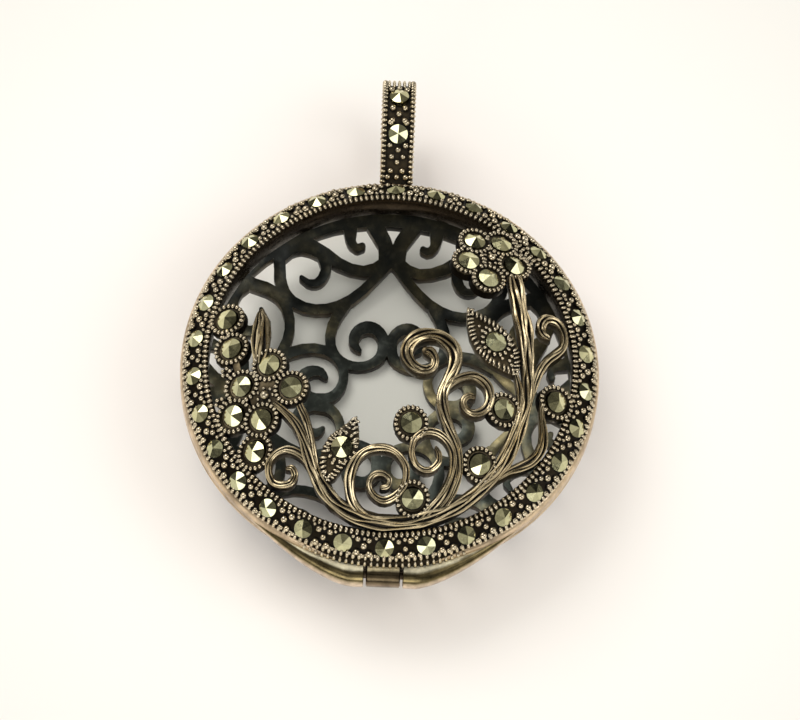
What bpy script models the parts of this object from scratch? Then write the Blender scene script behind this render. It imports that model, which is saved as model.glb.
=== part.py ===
"""Round hinged pendant locket: a domed open front cover set with small stones, over a pierced dished back.

Dimensions are millimetres about the ring's own axis: X right, Y towards the bail, Z out of the front cover.
"""

import math

import bmesh
import bpy
from mathutils import Matrix, Vector
from mathutils.geometry import delaunay_2d_cdt

MM = 0.001
RING_SIDES = 60  # facets round the big rings; two for each stone pitch
RING_CENTRE = Vector((0.0, -3.9475, 8.184))  # ring axis at the stone plane, in the part's own frame

# Front cover ring
DOME_RADIUS = 26.0
DOME_CENTRE_Z = -21.38
RING_OUTER = 16.1
RING_INNER = 13.9
FRONT_SEAM_Z = -2.15
RING_STONE_CIRCLE = 15.05
RING_STONE_COUNT = 30
RING_STONE_RADIUS = 0.70
RING_SEAT_DEPTH = 0.30
RING_SEAT_CORNER = 0.78  # corner radius of the eight-sided seats

# Flower spray
SPRAY_EDGE = 13.86
SPRAY_TOP = 0.10
SPRAY_SEAT = -0.25
SPRAY_BOTTOM = -0.85
CUP_RADIUS = 1.30
CUP_SIDES = 14
PETAL_STONE_RADIUS = 0.80
SEAT_CLEARANCE = 0.03
STONE_LIFT = 0.02  # gap left under every stone
STONE_SIDES = 12
CUTTER_REACH = 0.8  # how far the tools that cut the seats stand out of the surface
OUTLINE_TOLERANCE = 0.030
SAMPLE_TURN = math.radians(38)  # a curve gets one more sample in each span for each of these it turns
SMALLEST_HOLE = 0.04  # square millimetres; smaller openings are closed
LONGEST_EDGE = 2.4

# Back case
BACK_SEAM_Z = -2.25
GRILLE_EDGE = 15.17
GRILLE_THICKNESS = 0.80
DISH_RADIUS = 14.2
DISH_BOTTOM_Z = -7.48
GRILLE_SHIFT = Vector((-0.25, -0.20))  # the pierced disc is soldered in slightly off centre
GRILLE_TURN = math.radians(-1.0)
REST_FLAT_RADIUS = 5.0

# Hinge and catch
HINGE_Y = -16.45
HINGE_Z = -2.20
KNUCKLE_RADIUS = 0.95
CENTRE_KNUCKLE_HALF = 1.20
KNUCKLE_GAP = 0.28
BARREL_STRAIGHT = 2.40  # |x| where a long knuckle starts to bend in towards the ring's wall
BARREL_TIP = 10.30
BARREL_INWARD = 4.34
BARREL_RISE = 0.45
BARREL_BENDS = 9  # sections in the bent part of a long knuckle
BARREL_SIDES = 16
NOTCH_SIDES = 24
NOTCH_ARC_STEPS = 6
NOTCH_TOP = 0.40  # over the hinge axis, clear of the rim
PIN_RADIUS = 0.28
PIN_HALF = 3.7
PIN_CLEARANCE = 0.03
PIN_SIDES = 16
NOTCH_CLEARANCE = 0.04
TONGUE_HALF_WIDTH = 1.20
TONGUE_INNER_Y = 15.30
TONGUE_OUTER_Y = 15.70
TONGUE_TOP_Z = -1.65
TONGUE_CLEARANCE = 0.10

# Bail
BAIL_WIDTH = 2.45
BAIL_THICKNESS = 0.60
BAIL_RADIUS = 3.60
BAIL_CENTRE = Vector((21.75, -2.5))  # (y, z), as the next three
BAIL_FOOT_TOP = Vector((16.15, -1.10))
BAIL_FOOT_BOTTOM = Vector((16.15, -2.05))
BAIL_CROTCH = Vector((16.50, -1.55))
BAIL_FACET = 20  # degrees round the loop
BAIL_STONE_RADIUS = 0.75
BAIL_STONE_REACH = (-2.52, 0.65)  # along the outer face, from where its straight part begins
BAIL_SEAT_DEPTH = 0.30

# Stems of the spray as (x, y, width)
STEMS = (
    ((-8.7, -4.8, 0.4), (-7.9, -5.5, 0.5), (-7.05, -6.4, 0.62), (-6.4, -7.5, 0.7), (-5.95, -8.6, 0.8),
     (-5.45, -9.8, 0.95), (-4.85, -11.0, 1.0), (-3.9, -12.1, 0.95), (-2.5, -12.9, 0.95),
     (-0.6, -13.35, 0.95), (1.6, -13.35, 0.95), (3.4, -12.9, 0.95), (4.8, -12.25, 0.9),
     (6.0, -11.45, 0.85), (7.1, -10.5, 0.85),
     (8.1, -9.5, 0.85), (8.9, -8.4, 0.8), (9.5, -6.9, 0.72), (9.95, -5.4, 0.68), (10.35, -3.9, 0.75),
     (10.4, -2.2, 0.85), (10.25, -0.4, 1.0), (10.1, 1.2, 1.1), (9.85, 3.0, 1.2), (9.5, 5.0, 1.2),
     (9.2, 6.9, 1.1)),
    ((-6.75, -5.1, 0.45), (-6.25, -6.1, 0.5), (-5.9, -7.2, 0.5), (-5.6, -8.4, 0.5), (-5.25, -9.9, 0.4)),
    ((-5.0, -10.8, 0.5), (-5.6, -9.8, 0.5), (-6.2, -9.0, 0.5), (-6.9, -8.5, 0.5), (-7.7, -8.3, 0.5),
     (-8.4, -8.55, 0.5), (-8.85, -9.15, 0.5), (-8.85, -9.9, 0.5), (-8.5, -10.5, 0.5), (-7.9, -10.75, 0.5),
     (-7.2, -10.65, 0.5), (-6.87, -10.15, 0.42), (-7.1, -9.65, 0.36), (-7.5, -9.6, 0.3)),
    ((-1.0, -13.2, 0.5), (-1.9, -12.75, 0.6), (-2.55, -12.0, 0.7), (-2.8, -11.0, 0.75), (-2.72, -10.1, 0.7),
     (-2.35, -9.2, 0.6), (-1.7, -8.6, 0.55), (-0.8, -8.33, 0.55), (0.1, -8.4, 0.55), (0.8, -8.8, 0.52),
     (1.3, -9.5, 0.5), (1.4, -10.3, 0.5), (1.15, -11.05, 0.48), (0.6, -11.65, 0.46), (-0.1, -11.95, 0.46),
     (-0.8, -11.75, 0.46), (-1.3, -11.2, 0.46), (-1.3, -10.6, 0.45), (-0.9, -10.2, 0.44),
     (-0.3, -10.15, 0.42), (0.15, -10.5, 0.4), (0.05, -11.0, 0.35), (-0.4, -11.1, 0.3)),
    ((2.6, -13.0, 0.5), (3.3, -12.3, 0.5), (4.0, -11.5, 0.5), (4.5, -10.6, 0.5), (4.8, -9.7, 0.5),
     (4.88, -8.8, 0.5), (4.7, -8.0, 0.5), (4.2, -7.35, 0.5), (3.5, -7.0, 0.5), (2.7, -7.05, 0.5),
     (2.05, -7.5, 0.5), (1.75, -8.15, 0.5), (1.8, -8.85, 0.5), (2.15, -9.45, 0.48), (2.75, -9.75, 0.45),
     (3.35, -9.6, 0.42), (3.78, -9.1, 0.4), (3.8, -8.55, 0.36), (3.6, -8.15, 0.3)),
    ((3.6, -12.85, 0.4), (4.5, -11.8, 0.5), (5.05, -10.7, 0.5), (5.35, -9.6, 0.5), (5.3, -8.5, 0.55),
     (5.0, -7.5, 0.65), (4.5, -6.6, 0.8), (4.1, -5.7, 0.85), (3.85, -4.8, 0.85), (3.9, -3.9, 0.8),
     (4.3, -2.9, 0.75), (4.7, -2.0, 0.9), (4.85, -1.1, 1.1), (4.5, -0.2, 1.05), (3.7, 0.4, 0.95),
     (2.8, 0.5, 0.95), (1.9, 0.2, 0.95), (1.3, -0.4, 1.0), (1.1, -1.15, 1.0), (1.4, -1.85, 0.85),
     (2.0, -2.35, 0.75), (2.7, -2.4, 0.68), (3.2, -2.0, 0.6), (3.25, -1.4, 0.6), (2.95, -0.95, 0.8),
     (2.6, -0.8, 0.7)),
    ((4.0, -3.9, 0.5), (4.35, -3.4, 0.6), (4.85, -2.95, 0.65), (5.45, -2.6, 0.65), (6.15, -2.45, 0.65),
     (6.8, -2.65, 0.65), (7.3, -3.15, 0.65), (7.48, -3.9, 0.65), (7.3, -4.65, 0.62), (6.8, -5.15, 0.6),
     (6.15, -5.3, 0.6), (5.6, -5.0, 0.6), (5.5, -4.45, 0.56), (5.85, -4.05, 0.5), (6.25, -4.05, 0.4)),
    ((9.5, -1.8, 0.35), (9.75, -2.8, 0.48), (9.82, -3.9, 0.5), (9.65, -5.0, 0.5), (9.3, -6.2, 0.5),
     (8.85, -7.4, 0.5), (8.3, -8.6, 0.5), (7.5, -9.8, 0.5)),
    ((10.45, -3.9, 0.4), (10.75, -2.9, 0.45), (11.0, -1.8, 0.5), (11.35, -0.8, 0.6), (11.9, 0.05, 0.65),
     (12.5, 0.7, 0.65), (13.0, 1.35, 0.6), (13.2, 2.15, 0.58), (13.05, 2.95, 0.58), (12.6, 3.5, 0.62),
     (12.0, 3.6, 0.66), (11.5, 3.3, 0.7), (11.3, 2.7, 0.7), (11.5, 2.15, 0.6), (11.95, 1.95, 0.4)),
    ((11.6, -3.5, 0.4), (11.5, -4.2, 0.45), (11.55, -4.9, 0.5), (11.65, -5.7, 0.55), (11.6, -6.6, 0.6),
     (11.3, -7.4, 0.65), (10.75, -8.05, 0.65), (10.0, -8.55, 0.6), (9.1, -9.05, 0.5), (8.3, -9.65, 0.4)),
    ((-10.0, -1.6, 0.9), (-9.9, -0.2, 1.3), (-9.85, 0.85, 1.4), (-9.82, 1.8, 1.15), (-9.95, 2.5, 0.66),
     (-9.97, 2.95, 0.3)),
    ((-12.5, 2.2, 0.5), (-12.1, 0.0, 0.5), (-11.4, -2.6, 0.5)),
)
SPRAY_STONES = {
    "right_flower_stone": ((6.14, 9.73), (8.2, 9.95), (9.2, 7.95), (7.2, 6.2), (5.68, 7.64)),
    "left_flower_stone": ((-9.16, -1.79), (-7.45, -3.74), (-9.58, -5.95), (-11.68, -5.37), (-11.18, -3.21)),
    "bud_stone": ((-12.53, 2.58), (-12.1, 0.0), (-9.95, -8.21), (1.95, -11.74), (1.63, -6.47), (6.9, -8.9),
                  (8.58, -4.63), (12.6, -3.15)),
    "leaf_stone": ((7.84, 0.6), (-3.47, -8.32)),
}
FLOWER_HEARTS = ((7.4, 8.2), (-9.37, -4.16))
FLOWER_HEART_RADIUS = 1.2
LEAVES = (
    ((5.6, 3.2), (6.9, 2.7), (8.2, 2.1), (9.1, 1.3), (9.65, 0.2), (9.75, -0.9), (9.65, -1.9), (8.6, -1.7),
     (7.4, -1.25), (6.4, -0.4), (5.85, 0.7), (5.6, 2.0)),
    ((-2.45, -6.1), (-2.25, -7.1), (-2.2, -8.0), (-2.6, -9.0), (-3.3, -9.75), (-3.9, -10.5), (-4.5, -10.8),
     (-5.0, -10.2), (-5.1, -9.2), (-4.9, -8.3), (-4.4, -7.5), (-3.4, -6.8)),
)

# One eighth of the pierced scrollwork as (x, y, width); it is mirrored and turned to make the other seven
GRILLE_SCROLLS = (
    ((-8.9, 11.2, 0.9), (-8.2, 11.95, 1.0), (-7.3, 12.4, 1.1), (-6.4, 12.4, 1.15), (-5.2, 12.0, 1.0),
     (-4.2, 11.5, 0.88), (-3.2, 11.2, 0.8), (-2.2, 11.12, 0.8), (-1.3, 11.35, 0.9), (-0.5, 11.8, 1.1),
     (0.0, 12.15, 1.1)),
    ((-5.55, 12.0, 0.9), (-5.22, 11.4, 0.9), (-5.2, 10.8, 0.8), (-5.5, 10.15, 0.7), (-5.95, 9.8, 0.58),
     (-6.55, 9.78, 0.5), (-7.05, 10.05, 0.4)),
    ((-8.95, 11.5, 0.95), (-8.8, 10.6, 0.95), (-8.75, 9.75, 0.98), (-8.35, 8.75, 0.95), (-7.6, 8.1, 0.88),
     (-6.7, 7.8, 0.82), (-5.8, 7.75, 0.8), (-4.9, 7.9, 0.8), (-4.0, 8.25, 0.8), (-3.1, 8.8, 0.8),
     (-2.2, 9.6, 0.75), (-1.4, 10.45, 0.72), (-0.65, 11.35, 0.75), (0.0, 12.25, 0.8)),
    ((-3.4, 8.5, 0.8), (-4.0, 7.55, 0.85), (-4.4, 6.6, 0.85), (-4.55, 5.7, 0.82), (-4.45, 4.85, 0.82),
     (-4.0, 4.0, 0.8), (-3.2, 3.45, 0.78), (-2.2, 3.3, 0.74), (-1.25, 3.55, 0.75), (-0.55, 4.15, 0.85),
     (-0.3, 5.0, 0.9), (-0.4, 5.85, 0.9), (-0.95, 6.5, 0.95), (-1.7, 6.65, 1.02), (-2.35, 6.3, 0.95),
     (-2.65, 5.7, 0.88), (-2.6, 5.1, 0.72), (-2.2, 4.7, 0.4)),
    ((-3.5, 14.6, 1.4), (-3.42, 13.9, 1.05), (-3.38, 13.4, 0.82), (-3.15, 12.98, 0.66), (-2.75, 12.8, 0.56),
     (-2.4, 12.95, 0.52)),
    ((-1.6, 14.6, 1.3), (-1.1, 13.9, 1.2), (-0.68, 13.35, 1.15), (-0.5, 12.75, 1.2), (-0.55, 12.15, 1.1)),
)
GRILLE_BORDER_INNER = 14.45

FRONT_RING_PROFILE = (  # (radius, z), round one section of the front ring
    (RING_INNER, FRONT_SEAM_Z), (RING_OUTER, FRONT_SEAM_Z), (RING_OUTER, -1.1), (16.02, -0.8),
    (15.78, -0.55),
    (15.66, -0.63), (14.36, 0.29), (14.24, 0.5), (13.98, 0.62), (RING_INNER, 0.45),
)
BACK_RIM_PROFILE = (
    (15.2, BACK_SEAM_Z), (15.2, -5.1), (15.45, -4.15), (15.78, -3.3), (16.08, -2.7),
    (RING_OUTER, BACK_SEAM_Z),
)

BRIGHT_SILVER = ("bright_silver", (0.80, 0.76, 0.68), 0.28)
OXIDISED_SILVER = ("oxidised_silver", (0.10, 0.12, 0.12), 0.45)
MARCASITE = ("marcasite", (0.55, 0.52, 0.33), 0.18)


def clear_scene():
    for obj in list(bpy.data.objects):
        bpy.data.objects.remove(obj, do_unlink=True)


def material(look):
    name, colour, roughness = look
    found = bpy.data.materials.get(name)
    if found:
        return found
    made = bpy.data.materials.new(name)
    made.use_nodes = True
    shader = made.node_tree.nodes["Principled BSDF"]
    shader.inputs["Base Color"].default_value = (*colour, 1.0)
    shader.inputs["Roughness"].default_value = roughness
    shader.inputs["Metallic"].default_value = 1.0
    return made


def dome_height(radius):
    return DOME_CENTRE_Z + math.sqrt(DOME_RADIUS ** 2 - radius ** 2)


def dish_height(radius):
    """Inner face of the pierced back: nearly flat in the middle, turning up towards the rim."""
    part = radius / DISH_RADIUS
    return DISH_BOTTOM_Z + 0.53 * part ** 2 + 1.97 * part ** 4


def place(bm, name, look, origin=Vector((0.0, 0.0, 0.0)), smooth=False):
    """Turns a bmesh drawn about the ring's axis into an object whose own origin is at `origin`."""
    bmesh.ops.recalc_face_normals(bm, faces=bm.faces)
    bmesh.ops.translate(bm, verts=bm.verts, vec=-origin)
    bmesh.ops.scale(bm, verts=bm.verts, vec=(MM, MM, MM))
    mesh = bpy.data.meshes.new(name)
    bm.to_mesh(mesh)
    bm.free()
    mesh.materials.append(material(look))
    if smooth:
        mesh.shade_smooth()
    obj = bpy.data.objects.new(name, mesh)
    obj.location = (RING_CENTRE + origin) * MM
    bpy.context.collection.objects.link(obj)
    return obj


def follow(child, parent):
    """Parents one placed object to another without moving it."""
    child.location = child.location - parent.location
    child.parent = parent


def cut(obj, cutter_mesh_maker, operation="DIFFERENCE"):
    """Applies one exact Boolean with a throwaway tool solid drawn about the ring's axis."""
    tool = place(cutter_mesh_maker, obj.name + "_tool", BRIGHT_SILVER)
    tool.hide_render = True
    tool.display_type = "WIRE"
    modifier = obj.modifiers.new("shape", "BOOLEAN")
    modifier.operation = operation
    modifier.solver = "EXACT"
    modifier.object = tool
    bpy.context.view_layer.update()
    graph = bpy.context.evaluated_depsgraph_get()
    result = bpy.data.meshes.new_from_object(obj.evaluated_get(graph))
    obj.modifiers.remove(modifier)
    spare = obj.data
    obj.data = result
    bpy.data.meshes.remove(spare)
    bpy.data.objects.remove(tool, do_unlink=True)


def revolve(profile):
    bm = bmesh.new()
    rings = []
    for side in range(RING_SIDES):
        angle = 2 * math.pi * side / RING_SIDES
        rings.append([bm.verts.new((r * math.sin(angle), r * math.cos(angle), z)) for r, z in profile])
    for side in range(RING_SIDES):
        here, after = rings[side], rings[(side + 1) % RING_SIDES]
        for i in range(len(profile)):
            j = (i + 1) % len(profile)
            bm.faces.new((here[i], here[j], after[j], after[i]))
    return bm


def prism(bm, frame, outline, low, high):
    """Adds a closed prism: `outline` lies in the frame's XY plane and runs from low to high along its Z."""
    ends = [[bm.verts.new(frame @ Vector((x, y, level))) for x, y in outline] for level in (low, high)]
    count = len(outline)
    for i in range(count):
        j = (i + 1) % count
        bm.faces.new((ends[0][i], ends[0][j], ends[1][j], ends[1][i]))
    bm.faces.new(ends[0][::-1])
    bm.faces.new(ends[1])


def circle(radius, sides, start=0.0, centre=(0.0, 0.0)):
    return [(centre[0] + radius * math.cos(start + 2 * math.pi * i / sides),
             centre[1] + radius * math.sin(start + 2 * math.pi * i / sides)) for i in range(sides)]


def curve_points(points):
    """Catmull-Rom curve through the control points, with more samples where it bends more."""
    pts = [Vector(p) for p in points]
    pts = [2 * pts[0] - pts[1]] + pts + [2 * pts[-1] - pts[-2]]
    out = []
    for i in range(1, len(pts) - 2):
        a, b, c, d = pts[i - 1:i + 3]
        bend = (b - a).to_2d().angle((c - b).to_2d()) + (c - b).to_2d().angle((d - c).to_2d())
        steps = 1 + min(2, int(bend / SAMPLE_TURN))
        for k in range(steps):
            t = k / steps
            square = (2 * a - 5 * b + 4 * c - d) * t ** 2
            cube = (3 * b - a - 3 * c + d) * t ** 3
            out.append(0.5 * (2 * b + (c - a) * t + square + cube))
    out.append(pts[-2])
    return out


def ribbon(points, move=lambda x, y: (x, y)):
    """A flat strip along a curve, as a chain of four-sided polygons, with a round tip at its far end."""
    samples = curve_points(points)
    left, right = [], []
    for i, here in enumerate(samples):
        along = (samples[min(i + 1, len(samples) - 1)] - samples[max(i - 1, 0)]).to_2d().normalized()
        across = Vector((-along.y, along.x)) * here.z / 2
        left.append(move(*(here.to_2d() + across)))
        right.append(move(*(here.to_2d() - across)))
    strips = [[left[i], right[i], right[i + 1], left[i + 1]] for i in range(len(samples) - 1)]
    tip = samples[-1]
    strips.append([move(x, y) for x, y in circle(tip.z / 2, 8, centre=(tip.x, tip.y))])
    return strips


def signed_area(polygon):
    return sum(a[0] * b[1] - b[0] * a[1] for a, b in zip(polygon, polygon[1:] + polygon[:1])) / 2


def oriented(polygon):
    return polygon if signed_area(polygon) > 0 else polygon[::-1]


def triangulate(polygons):
    """Flat triangulation of overlapping polygons: (points, [(triangle, ids of the polygons it lies in)])."""
    points, faces = [], []
    for polygon in polygons:
        faces.append(list(range(len(points), len(points) + len(polygon))))
        points.extend(Vector(point) for point in oriented(list(polygon)))
    flat, _, triangles, _, _, sources = delaunay_2d_cdt(points, [], faces, 1, 0.004)
    return flat, list(zip(triangles, sources))


def border_loops(triangles):
    """Closed chains of point numbers round the outside of a set of flat triangles."""
    directed = {(t[i], t[(i + 1) % 3]) for t in triangles for i in range(3)}
    after = {i: j for i, j in directed if (j, i) not in directed}
    loops = []
    while after:
        first, here = after.popitem()
        loop = [first]
        while here != first:
            loop.append(here)
            here = after.pop(here)
        loops.append(loop)
    return loops


def thin_out(loop, tolerance):
    """Drops points of a closed loop that lie within `tolerance` of the line between the ones kept."""
    kept = [Vector(point) for point in loop]
    i = 0
    while i < len(kept) and len(kept) > 4:
        before, here, after = kept[i - 1], kept[i], kept[(i + 1) % len(kept)]
        chord = after - before
        offset = abs(chord.cross(here - before)) / max(chord.length, 1e-9)
        if offset < tolerance and chord.length < LONGEST_EDGE:
            del kept[i]
        i += 1
    return kept


def relief(polygons, sunk, clip, top, bottom, sunk_top, marks=()):
    """One closed plate made of overlapping flat polygons laid on a curved surface.

    The plate is the union of `polygons`, trimmed by the `clip` polygon. Its upper face is top(r) and its
    lower face bottom(r); inside the `sunk` polygons the upper face drops to sunk_top(r). `marks` only add
    edges.
    """
    flat, pieces = triangulate([*polygons, clip])
    clip_id = len(polygons)
    body = [triangle for triangle, ids in pieces if clip_id in ids and len(ids) > 1]
    loops = [thin_out([flat[i] for i in loop], OUTLINE_TOLERANCE) for loop in border_loops(body)]
    loops = [loop for loop in loops if abs(signed_area(loop)) > SMALLEST_HOLE]
    solid = [loop for loop in loops if signed_area(loop) > 0]
    holes = [loop for loop in loops if signed_area(loop) < 0]
    flat, pieces = triangulate([*solid, *holes, *sunk, *marks])
    hole_ids = range(len(solid), len(loops))
    sunk_ids = range(len(loops), len(loops) + len(sunk))
    kept = []
    for triangle, ids in pieces:
        if any(i < len(solid) for i in ids) and not any(i in hole_ids for i in ids):
            kept.append((triangle, 1 if any(i in sunk_ids for i in ids) else 0))
    heights = (top, sunk_top)
    bm = bmesh.new()
    made = {}

    def vertex(index, level):
        if (index, level) not in made:
            x, y = flat[index]
            radius = math.hypot(x, y)
            z = bottom(radius) if level is None else heights[level](radius)
            made[index, level] = bm.verts.new((x, y, z))
        return made[index, level]

    edge_level = {}
    for triangle, level in kept:
        for i in range(3):
            edge_level[triangle[i], triangle[(i + 1) % 3]] = level
    for triangle, level in kept:
        bm.faces.new([vertex(i, level) for i in triangle])
        bm.faces.new([vertex(i, None) for i in reversed(triangle)])
    for (i, j), level in edge_level.items():
        other = edge_level.get((j, i))
        if other is None:
            bm.faces.new((vertex(j, level), vertex(i, level), vertex(i, None), vertex(j, None)))
        elif level < other:
            bm.faces.new((vertex(j, level), vertex(i, level), vertex(i, other), vertex(j, other)))
    return bm


def rose_cut(radius, base, girdle, peak, frame):
    """A flat-backed stone with a round girdle and six facets meeting in a point."""
    bm = bmesh.new()
    low = [bm.verts.new(frame @ Vector((x, y, base))) for x, y in circle(radius, STONE_SIDES)]
    high = [bm.verts.new(frame @ Vector((x, y, girdle))) for x, y in circle(radius, STONE_SIDES)]
    point = bm.verts.new(frame @ Vector((0.0, 0.0, peak)))
    bm.faces.new(low[::-1])
    for i in range(STONE_SIDES):
        j = (i + 1) % STONE_SIDES
        bm.faces.new((low[i], low[j], high[j], high[i]))
    for i in range(0, STONE_SIDES, 2):
        first, middle, last = high[i], high[i + 1], high[(i + 2) % STONE_SIDES]
        bm.faces.new((first, last, point))
        bm.faces.new((first, middle, last))
    return bm


def dome_frame(x, y):
    """Frame whose Z is the front dome's outward normal at plan position (x, y)."""
    z = dome_height(math.hypot(x, y))
    normal = Vector((x, y, z - DOME_CENTRE_Z)).normalized()
    return Matrix.Translation((x, y, z)) @ normal.to_track_quat("Z", "Y").to_matrix().to_4x4()


def across_frame(y, z):
    """Frame at (0, y, z) whose Z runs along the part's X, its X along Y and its Y along Z."""
    return Matrix(((0, 0, 1, 0), (1, 0, 0, y), (0, 1, 0, z), (0, 0, 0, 1)))


def hinge_frame():
    return across_frame(HINGE_Y, HINGE_Z)


def barrel_section(x):
    """How far in and up from the hinge axis a long knuckle's centre lies at |x|, and its radius there."""
    bend = max(0.0, (x - BARREL_STRAIGHT) / (BARREL_TIP - BARREL_STRAIGHT))
    return BARREL_INWARD * bend ** 1.5, BARREL_RISE * bend ** 1.3, KNUCKLE_RADIUS * (1 - 0.74 * bend ** 1.6)


def barrel_stations():
    start = CENTRE_KNUCKLE_HALF + KNUCKLE_GAP
    step = (BARREL_TIP - BARREL_STRAIGHT) / BARREL_BENDS
    return [start, *(BARREL_STRAIGHT + step * i for i in range(BARREL_BENDS + 1))]


def skin(bm, rings):
    """Closes a solid over rings of points that follow one another."""
    for here, after in zip(rings, rings[1:]):
        for i in range(len(here)):
            j = (i + 1) % len(here)
            bm.faces.new((here[i], here[j], after[j], after[i]))
    bm.faces.new(rings[0][::-1])
    bm.faces.new(rings[-1])


def barrel(bm, side):
    """One long outer knuckle: a round barrel along the hinge axis whose end bends into the ring's wall."""
    frame = hinge_frame()
    rings = []
    for x in barrel_stations():
        inward, upward, radius = barrel_section(x)
        spots = [Vector((inward + u, upward + v, side * x)) for u, v in circle(radius, BARREL_SIDES)]
        rings.append([bm.verts.new(frame @ spot) for spot in spots])
    skin(bm, rings)


def notch_depth(x):
    _, upward, radius = barrel_section(x)
    return radius - upward + NOTCH_CLEARANCE


def notch_section(x):
    """Outline about the hinge axis of the room a slice of a long knuckle needs in the back's rim."""
    inward, upward, radius = barrel_section(x)
    reach = inward + math.sqrt(max(radius ** 2 - upward ** 2, 0.0)) + NOTCH_CLEARANCE
    depth = notch_depth(x)
    corner = -math.asin(min(1.0, depth / reach))
    arc = [corner * (1 - i / NOTCH_ARC_STEPS) for i in range(NOTCH_ARC_STEPS + 1)]
    outline = [(-radius, NOTCH_TOP), (-radius, -depth)]
    outline += [(reach * math.cos(angle), reach * math.sin(angle)) for angle in arc]
    return [*outline, (reach, NOTCH_TOP)]


def hinge_notch(bm):
    """The trough in the back's rim that the long knuckles turn in."""
    frame = hinge_frame()
    reaches = [x for x in barrel_stations()[1:] if notch_depth(x) > 0]
    stations = [-x for x in reversed(reaches)] + reaches
    rings = []
    for x in stations:
        rings.append([bm.verts.new(frame @ Vector((u, v, x))) for u, v in notch_section(abs(x))])
    skin(bm, rings)


def tongue_outline(margin):
    """Plan of the catch tongue, grown by a margin."""
    x = TONGUE_HALF_WIDTH + margin
    low, high = TONGUE_INNER_Y - margin, TONGUE_OUTER_Y + margin
    return [(-x, low), (x, low), (x, high), (-x, high)]


def build_front_ring():
    ring = place(revolve(FRONT_RING_PROFILE), "front_ring", BRIGHT_SILVER)
    for side in (-1, 1):
        bm = bmesh.new()
        barrel(bm, side)
        cut(ring, bm, "UNION")
    seats = bmesh.new()
    for i in range(RING_STONE_COUNT):
        angle = 2 * math.pi * i / RING_STONE_COUNT
        frame = dome_frame(RING_STONE_CIRCLE * math.sin(angle), RING_STONE_CIRCLE * math.cos(angle))
        prism(seats, frame, circle(RING_SEAT_CORNER, 8), -RING_SEAT_DEPTH, CUTTER_REACH)
    cut(ring, seats)
    hinge = bmesh.new()
    notch = CENTRE_KNUCKLE_HALF + KNUCKLE_GAP
    prism(hinge, hinge_frame(), circle(KNUCKLE_RADIUS + NOTCH_CLEARANCE, NOTCH_SIDES), -notch, notch)
    cut(ring, hinge)
    bore = bmesh.new()
    reach = PIN_HALF + PIN_CLEARANCE
    prism(bore, hinge_frame(), circle(PIN_RADIUS + PIN_CLEARANCE, PIN_SIDES), -reach, reach)
    cut(ring, bore)
    slot = bmesh.new()
    roof = TONGUE_TOP_Z + TONGUE_CLEARANCE
    prism(slot, Matrix.Identity(4), tongue_outline(TONGUE_CLEARANCE), BACK_SEAM_Z, roof)
    cut(ring, slot)
    set_origin(ring, Vector((0.0, HINGE_Y, HINGE_Z)))
    return ring


def set_origin(obj, origin):
    """Moves an object's own origin to `origin` about the ring's axis, leaving the solid where it is."""
    target = (RING_CENTRE + origin) * MM
    obj.data.transform(Matrix.Translation(obj.location - target))
    obj.location = target


def seat_positions():
    return [(name, i, x, y) for name, spots in SPRAY_STONES.items() for i, (x, y) in enumerate(spots, 1)]


def build_flower_spray():
    polygons = [quad for stem in STEMS for quad in ribbon(stem)]
    for name, _, x, y in seat_positions():
        if name != "leaf_stone":
            polygons.append(circle(CUP_RADIUS, CUP_SIDES, centre=(x, y)))
    polygons += [circle(FLOWER_HEART_RADIUS, CUP_SIDES, centre=spot) for spot in FLOWER_HEARTS]
    polygons += [list(leaf) for leaf in LEAVES]
    seat = PETAL_STONE_RADIUS + SEAT_CLEARANCE
    sunk = [circle(seat, STONE_SIDES, centre=(x, y)) for _, _, x, y in seat_positions()]
    clip = circle(SPRAY_EDGE, RING_SIDES)

    def level(lift):
        return lambda r: dome_height(r) + lift

    bm = relief(polygons, sunk, clip, level(SPRAY_TOP), level(SPRAY_BOTTOM), level(SPRAY_SEAT))
    return place(bm, "flower_spray", BRIGHT_SILVER)


def build_grille():
    def mover(quarter, mirror):
        turn = Matrix.Rotation(GRILLE_TURN + quarter * math.pi / 2, 2)
        return lambda x, y: tuple(turn @ Vector((x * mirror, y)) + GRILLE_SHIFT)

    polygons = []
    for quarter in range(4):
        for mirror in (-1, 1):
            for scroll in GRILLE_SCROLLS:
                polygons += ribbon(scroll, mover(quarter, mirror))
    outer = circle(GRILLE_EDGE, RING_SIDES)
    inner = circle(GRILLE_BORDER_INNER, RING_SIDES, centre=GRILLE_SHIFT)
    for i in range(RING_SIDES):
        j = (i + 1) % RING_SIDES
        polygons.append([inner[i], outer[i], outer[j], inner[j]])
    flat_z = dish_height(REST_FLAT_RADIUS) - GRILLE_THICKNESS
    bm = relief(polygons, [], outer, dish_height, lambda r: max(dish_height(r) - GRILLE_THICKNESS, flat_z),
                dish_height, marks=[circle(REST_FLAT_RADIUS, 24)])
    return place(bm, "pierced_back", OXIDISED_SILVER)


def build_back_rim():
    rim = place(revolve(BACK_RIM_PROFILE), "back_rim", BRIGHT_SILVER)
    notch = bmesh.new()
    hinge_notch(notch)
    cut(rim, notch)
    return rim


def build_centre_knuckle():
    bm = bmesh.new()
    prism(bm, hinge_frame(), circle(KNUCKLE_RADIUS, BARREL_SIDES), -CENTRE_KNUCKLE_HALF, CENTRE_KNUCKLE_HALF)
    knuckle = place(bm, "centre_knuckle", BRIGHT_SILVER)
    bore = bmesh.new()
    prism(bore, hinge_frame(), circle(PIN_RADIUS + PIN_CLEARANCE, PIN_SIDES), -PIN_HALF, PIN_HALF)
    cut(knuckle, bore)
    return knuckle


def build_hinge_pin():
    bm = bmesh.new()
    prism(bm, hinge_frame(), circle(PIN_RADIUS, PIN_SIDES), -PIN_HALF, PIN_HALF)
    return place(bm, "hinge_pin", BRIGHT_SILVER, smooth=True)


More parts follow.
